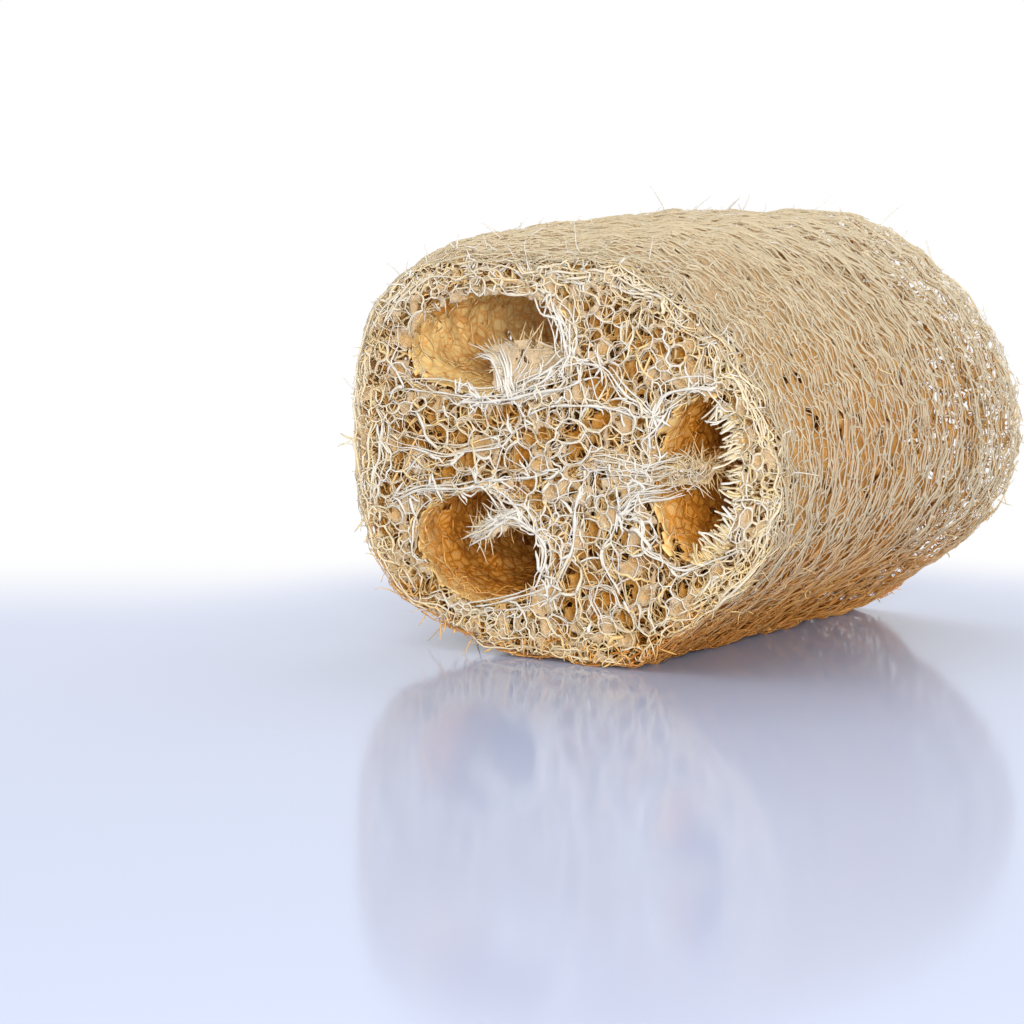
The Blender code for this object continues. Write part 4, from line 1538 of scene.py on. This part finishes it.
class LOOFAH_OT_loose_ends(bpy.types.Operator):
    """Loose ends at the cut edges, in the channels' mouths and over the wall"""

    bl_idname = "loofah.loose_ends"
    bl_label = "Loose ends"

    def execute(self, context):
        fibres = Fibres(101)
        rng = fibres.rng
        for end in (-1, 1):
            angle = rng.uniform(0, math.tau, 520)
            y = end * (LENGTH / 2 - rng.uniform(0.2, 2.5, len(angle)) * MM)
            roots = on_body(angle, y, rng.uniform(0.4, 4.4, len(angle)) * MM)
            outward = outward_from(angle, y)
            heading = outward * rng.uniform(-0.6, 0.3, (len(angle), 1)) + rng.normal(0, 0.6, roots.shape)
            heading[:, 1] = end * np.abs(rng.normal(0.0, 0.2, len(angle)))
            fibres.add_hairs(roots, unit(heading), 1.8 * MM, 0.32 * MM, 0.45)
            # Longer thin curls that stand off the rim
            angle = rng.uniform(-0.5, 4.2, 130 if end < 0 else 50)
            y = end * (LENGTH / 2 - rng.uniform(0.2, 6.0, len(angle)) * MM)
            roots = on_body(angle, y, 0.5 * MM + 0 * angle)
            heading = outward_from(angle, y) * 0.45 + rng.normal(0, 0.6, roots.shape)
            fibres.add_hairs(roots, unit(heading), 2.2 * MM, 0.20 * MM, 0.9)
        for channel in CHANNELS:
            for end in (-1, 1):
                if channel.name != "right":
                    angle = evenly_round_channel(channel, rng.uniform(0, 1, 90))
                    self.add_fringe(fibres, channel, end, angle, 5.0 * MM, 1.5 * MM, 0.22 * MM, 0.6, 0.45)
                    continue
                # The comb of blunt stubs, in clusters along the side that lies next to the wall
                clusters = math.radians(channel.bearing - channel.tilt) + np.linspace(-1.2, 1.2, 15)
                angle = np.repeat(clusters, 14) + rng.normal(0, 0.06, 210)
                self.add_fringe(fibres, channel, end, angle, 3.6 * MM, 2.9 * MM, 0.50 * MM, 0.20, 0.95)
        self.add_wall_hairs(fibres, 420)
        for points in fibres.points:
            points[:, 2] = np.maximum(points[:, 2], 0.3 * MM)
        material = gourd_fibre("Dried gourd fibre, loose end", 0.6, 0.2)
        replaced = ["hoop_fibre_layer"]
        make_piece("loose_ends", fibres, 3, material, replaced, wall_amber(0.15, 0.30))
        return {"FINISHED"}

    def add_fringe(self, fibres, channel, end, angle, deep, length, width, curl, tip):
        """Stubs that stand out of the lining into the channel's mouth."""
        rng = fibres.rng
        y = end * (LENGTH / 2 - rng.uniform(0.3 * MM, deep, len(angle)))
        roots = on_channel(channel, angle, y, 1.3 * MM)
        heading = unit(on_channel(channel, angle, y, -1.0 * MM) - roots)
        heading += rng.normal(0, 0.22, heading.shape)
        heading[:, 1] += end * rng.uniform(0.0, 0.5, len(angle))
        fibres.add_hairs(roots, unit(heading), length, width, curl, tip)

    def add_wall_hairs(self, fibres, count):
        """Hairs that lie along the wall and lift off it a little, all but under it."""
        rng = fibres.rng
        angle = rng.uniform(0, math.tau, count)
        y = rng.uniform(-LENGTH / 2, LENGTH / 2, count)
        roots = on_body(angle, y, 0.4 * MM + 0 * angle)
        onward = unit(on_body(angle + 0.01, y, 0.4 * MM + 0 * angle) - roots)
        heading = onward * rng.choice((-1, 1), (count, 1))
        heading = heading + outward_from(angle, y) * rng.uniform(-0.05, 0.22, (count, 1))
        heading[:, 1] += rng.normal(0, 0.3, count)
        heading = unit(heading)
        above = roots[:, 2] > 0.006
        fibres.add_hairs(roots[above], heading[above], 2.2 * MM, 0.20 * MM, 0.55)


# The stage

# Where the camera fitted to the photograph stands and looks, in metres, and its lens in millimetres
CAMERA_PLACE = (0.48757, -0.78387, 0.15318)
CAMERA_TARGET = (-0.01081, -0.045, 0.02793)
CAMERA_LENS = 167.7
# The level heading in which it looks, away from the eye
CAMERA_HEADING = (-0.559, 0.829, 0.0)
LIGHTS_TARGET = (0.0, 0.0, 0.035)
# Name, place and width in metres, and power in watts
LIGHTS = (
    ("key_light", (-0.25, -0.45, 0.95), 0.8, 1.9),
    ("fill_light", (0.57, -0.78, 0.20), 0.3, 9.6),
    ("back_light", (0.1, 0.9, 0.7), 1.2, 7.5),
    ("left_light", (-0.60, 0.35, 0.75), 0.9, 4.4),
)
WHITE = (1.0, 1.0, 1.0, 1.0)


def look_from(obj, place, target):
    obj.location = place
    heading = Vector(target) - Vector(place)
    obj.rotation_euler = heading.to_track_quat("-Z", "Y").to_euler()


class LOOFAH_OT_stage(bpy.types.Operator):
    """The pale floor, the soft lights, the white background and the camera"""

    bl_idname = "loofah.stage"
    bl_label = "Stage"

    def execute(self, context):
        scene = context.scene
        self.add_floor()
        self.add_lights(scene)
        self.add_background(scene)
        camera = bpy.data.objects.new("camera", bpy.data.cameras.new("camera"))
        scene.collection.objects.link(camera)
        camera.data.lens = CAMERA_LENS
        camera.data.clip_start = 0.01
        look_from(camera, CAMERA_PLACE, CAMERA_TARGET)
        scene.camera = camera
        scene.view_settings.view_transform = "Standard"
        return {"FINISHED"}

    def add_floor(self):
        bpy.ops.object.select_all(action="DESELECT")
        bpy.ops.mesh.primitive_plane_add(size=8.0, location=(0.0, 0.0, 0.0))
        floor = bpy.context.object
        floor.name = "floor"
        material = bpy.data.materials.new("Glazed white laminate")
        tree = empty_tree(material)
        glazed = {"Base Color": (*colour("#B3BCD5"), 1.0), "Roughness": 0.10, "Specular IOR Level": 0.12}
        glaze = add_node(tree, "ShaderNodeBsdfPrincipled", "BSDF", glazed)
        # Past the table's soft far edge the eye sees the white backdrop
        place = add_node(tree, "ShaderNodeTexCoord", "Object")
        both = {0: place, 1: CAMERA_HEADING}
        away = add_node(tree, "ShaderNodeVectorMath", "Value", both, operation="DOT_PRODUCT")
        fade = smooth_range(tree, away, 0.0, 0.10)
        from_middle = add_node(tree, "ShaderNodeVectorMath", "Value", {0: place}, operation="LENGTH")
        fade = calculate(tree, "MULTIPLY", fade, smooth_range(tree, from_middle, 0.065, 0.12))
        eye = add_node(tree, "ShaderNodeLightPath", "Is Camera Ray")
        share = calculate(tree, "MULTIPLY", fade, eye)
        white = add_node(tree, "ShaderNodeEmission", "Emission", {"Color": WHITE, "Strength": 1.0})
        mixed = add_node(tree, "ShaderNodeMixShader", "Shader", {0: share, 1: glaze, 2: white})
        add_node(tree, "ShaderNodeOutputMaterial", inputs={"Surface": mixed})
        floor.data.materials.append(material)

    def add_lights(self, scene):
        for name, place, size, power in LIGHTS:
            light = bpy.data.lights.new(name, "AREA")
            light.size = size
            light.energy = power
            lamp = bpy.data.objects.new(name, light)
            scene.collection.objects.link(lamp)
            look_from(lamp, place, LIGHTS_TARGET)

    def add_background(self, scene):
        """White to the camera and in reflections, and a plain grey light on everything else."""
        world = bpy.data.worlds.new("studio")
        tree = empty_tree(world)
        rays = add_node(tree, "ShaderNodeLightPath").outputs
        seen = calculate(tree, "MAXIMUM", rays["Is Camera Ray"], rays["Is Glossy Ray"])
        seen = calculate(tree, "MAXIMUM", seen, rays["Is Transmission Ray"])
        light, white = (
            add_node(tree, "ShaderNodeBackground", "Background", {"Color": WHITE, "Strength": strength})
            for strength in (0.54, 1.0)
        )
        mixed = add_node(tree, "ShaderNodeMixShader", "Shader", {0: seen, 1: light, 2: white})
        add_node(tree, "ShaderNodeOutputWorld", inputs={"Surface": mixed})
        scene.world = world


# The add-on


class LOOFAH_PT_panel(bpy.types.Panel):
    """Each step of the loofah, and the sizes and colours it takes"""

    bl_label = "Natural loofah"
    bl_idname = "LOOFAH_PT_panel"
    bl_space_type = "VIEW_3D"
    bl_region_type = "UI"
    bl_category = "Loofah"

    def draw(self, context):
        for settings, operators in (
            ("loofah_colours", ()),
            ("loofah_wall", (LOOFAH_OT_hoop_layer, LOOFAH_OT_lengthwise_layer)),
            ("loofah_linings", (LOOFAH_OT_channel_linings, LOOFAH_OT_seed_ridges)),
            ("loofah_sponge", (LOOFAH_OT_webs, LOOFAH_OT_axial_cords)),
            ("loofah_cut_faces", (LOOFAH_OT_cut_faces, LOOFAH_OT_loose_ends)),
            (None, (LOOFAH_OT_stage,)),
        ):
            box = self.layout.box()
            if settings:
                group = getattr(context.scene, settings)
                for name in group.bl_rna.properties.keys():
                    if name not in ("rna_type", "name"):
                        box.prop(group, name)
            for operator in operators:
                box.operator(operator.bl_idname)


SETTINGS = {
    "loofah_colours": LoofahColours,
    "loofah_wall": LoofahWall,
    "loofah_linings": LoofahLinings,
    "loofah_sponge": LoofahSponge,
    "loofah_cut_faces": LoofahCutFaces,
}
OPERATORS = (
    LOOFAH_OT_hoop_layer,
    LOOFAH_OT_lengthwise_layer,
    LOOFAH_OT_channel_linings,
    LOOFAH_OT_webs,
    LOOFAH_OT_axial_cords,
    LOOFAH_OT_seed_ridges,
    LOOFAH_OT_cut_faces,
    LOOFAH_OT_loose_ends,
    LOOFAH_OT_stage,
)


def register():
    for name, group in SETTINGS.items():
        bpy.utils.register_class(group)
        setattr(bpy.types.Scene, name, bpy.props.PointerProperty(type=group))
    for operator in OPERATORS:
        bpy.utils.register_class(operator)
    bpy.utils.register_class(LOOFAH_PT_panel)


def unregister():
    bpy.utils.unregister_class(LOOFAH_PT_panel)
    for operator in reversed(OPERATORS):
        bpy.utils.unregister_class(operator)
    for name, group in reversed(SETTINGS.items()):
        delattr(bpy.types.Scene, name)
        bpy.utils.unregister_class(group)


def main():
    register()
    bpy.ops.loofah.hoop_layer()
    bpy.ops.loofah.lengthwise_layer()
    bpy.ops.loofah.channel_linings()
    bpy.ops.loofah.webs()
    bpy.ops.loofah.axial_cords()
    bpy.ops.loofah.seed_ridges()
    bpy.ops.loofah.cut_faces()
    bpy.ops.loofah.loose_ends()
    bpy.ops.loofah.stage()


if __name__ == "__main__":
    main()
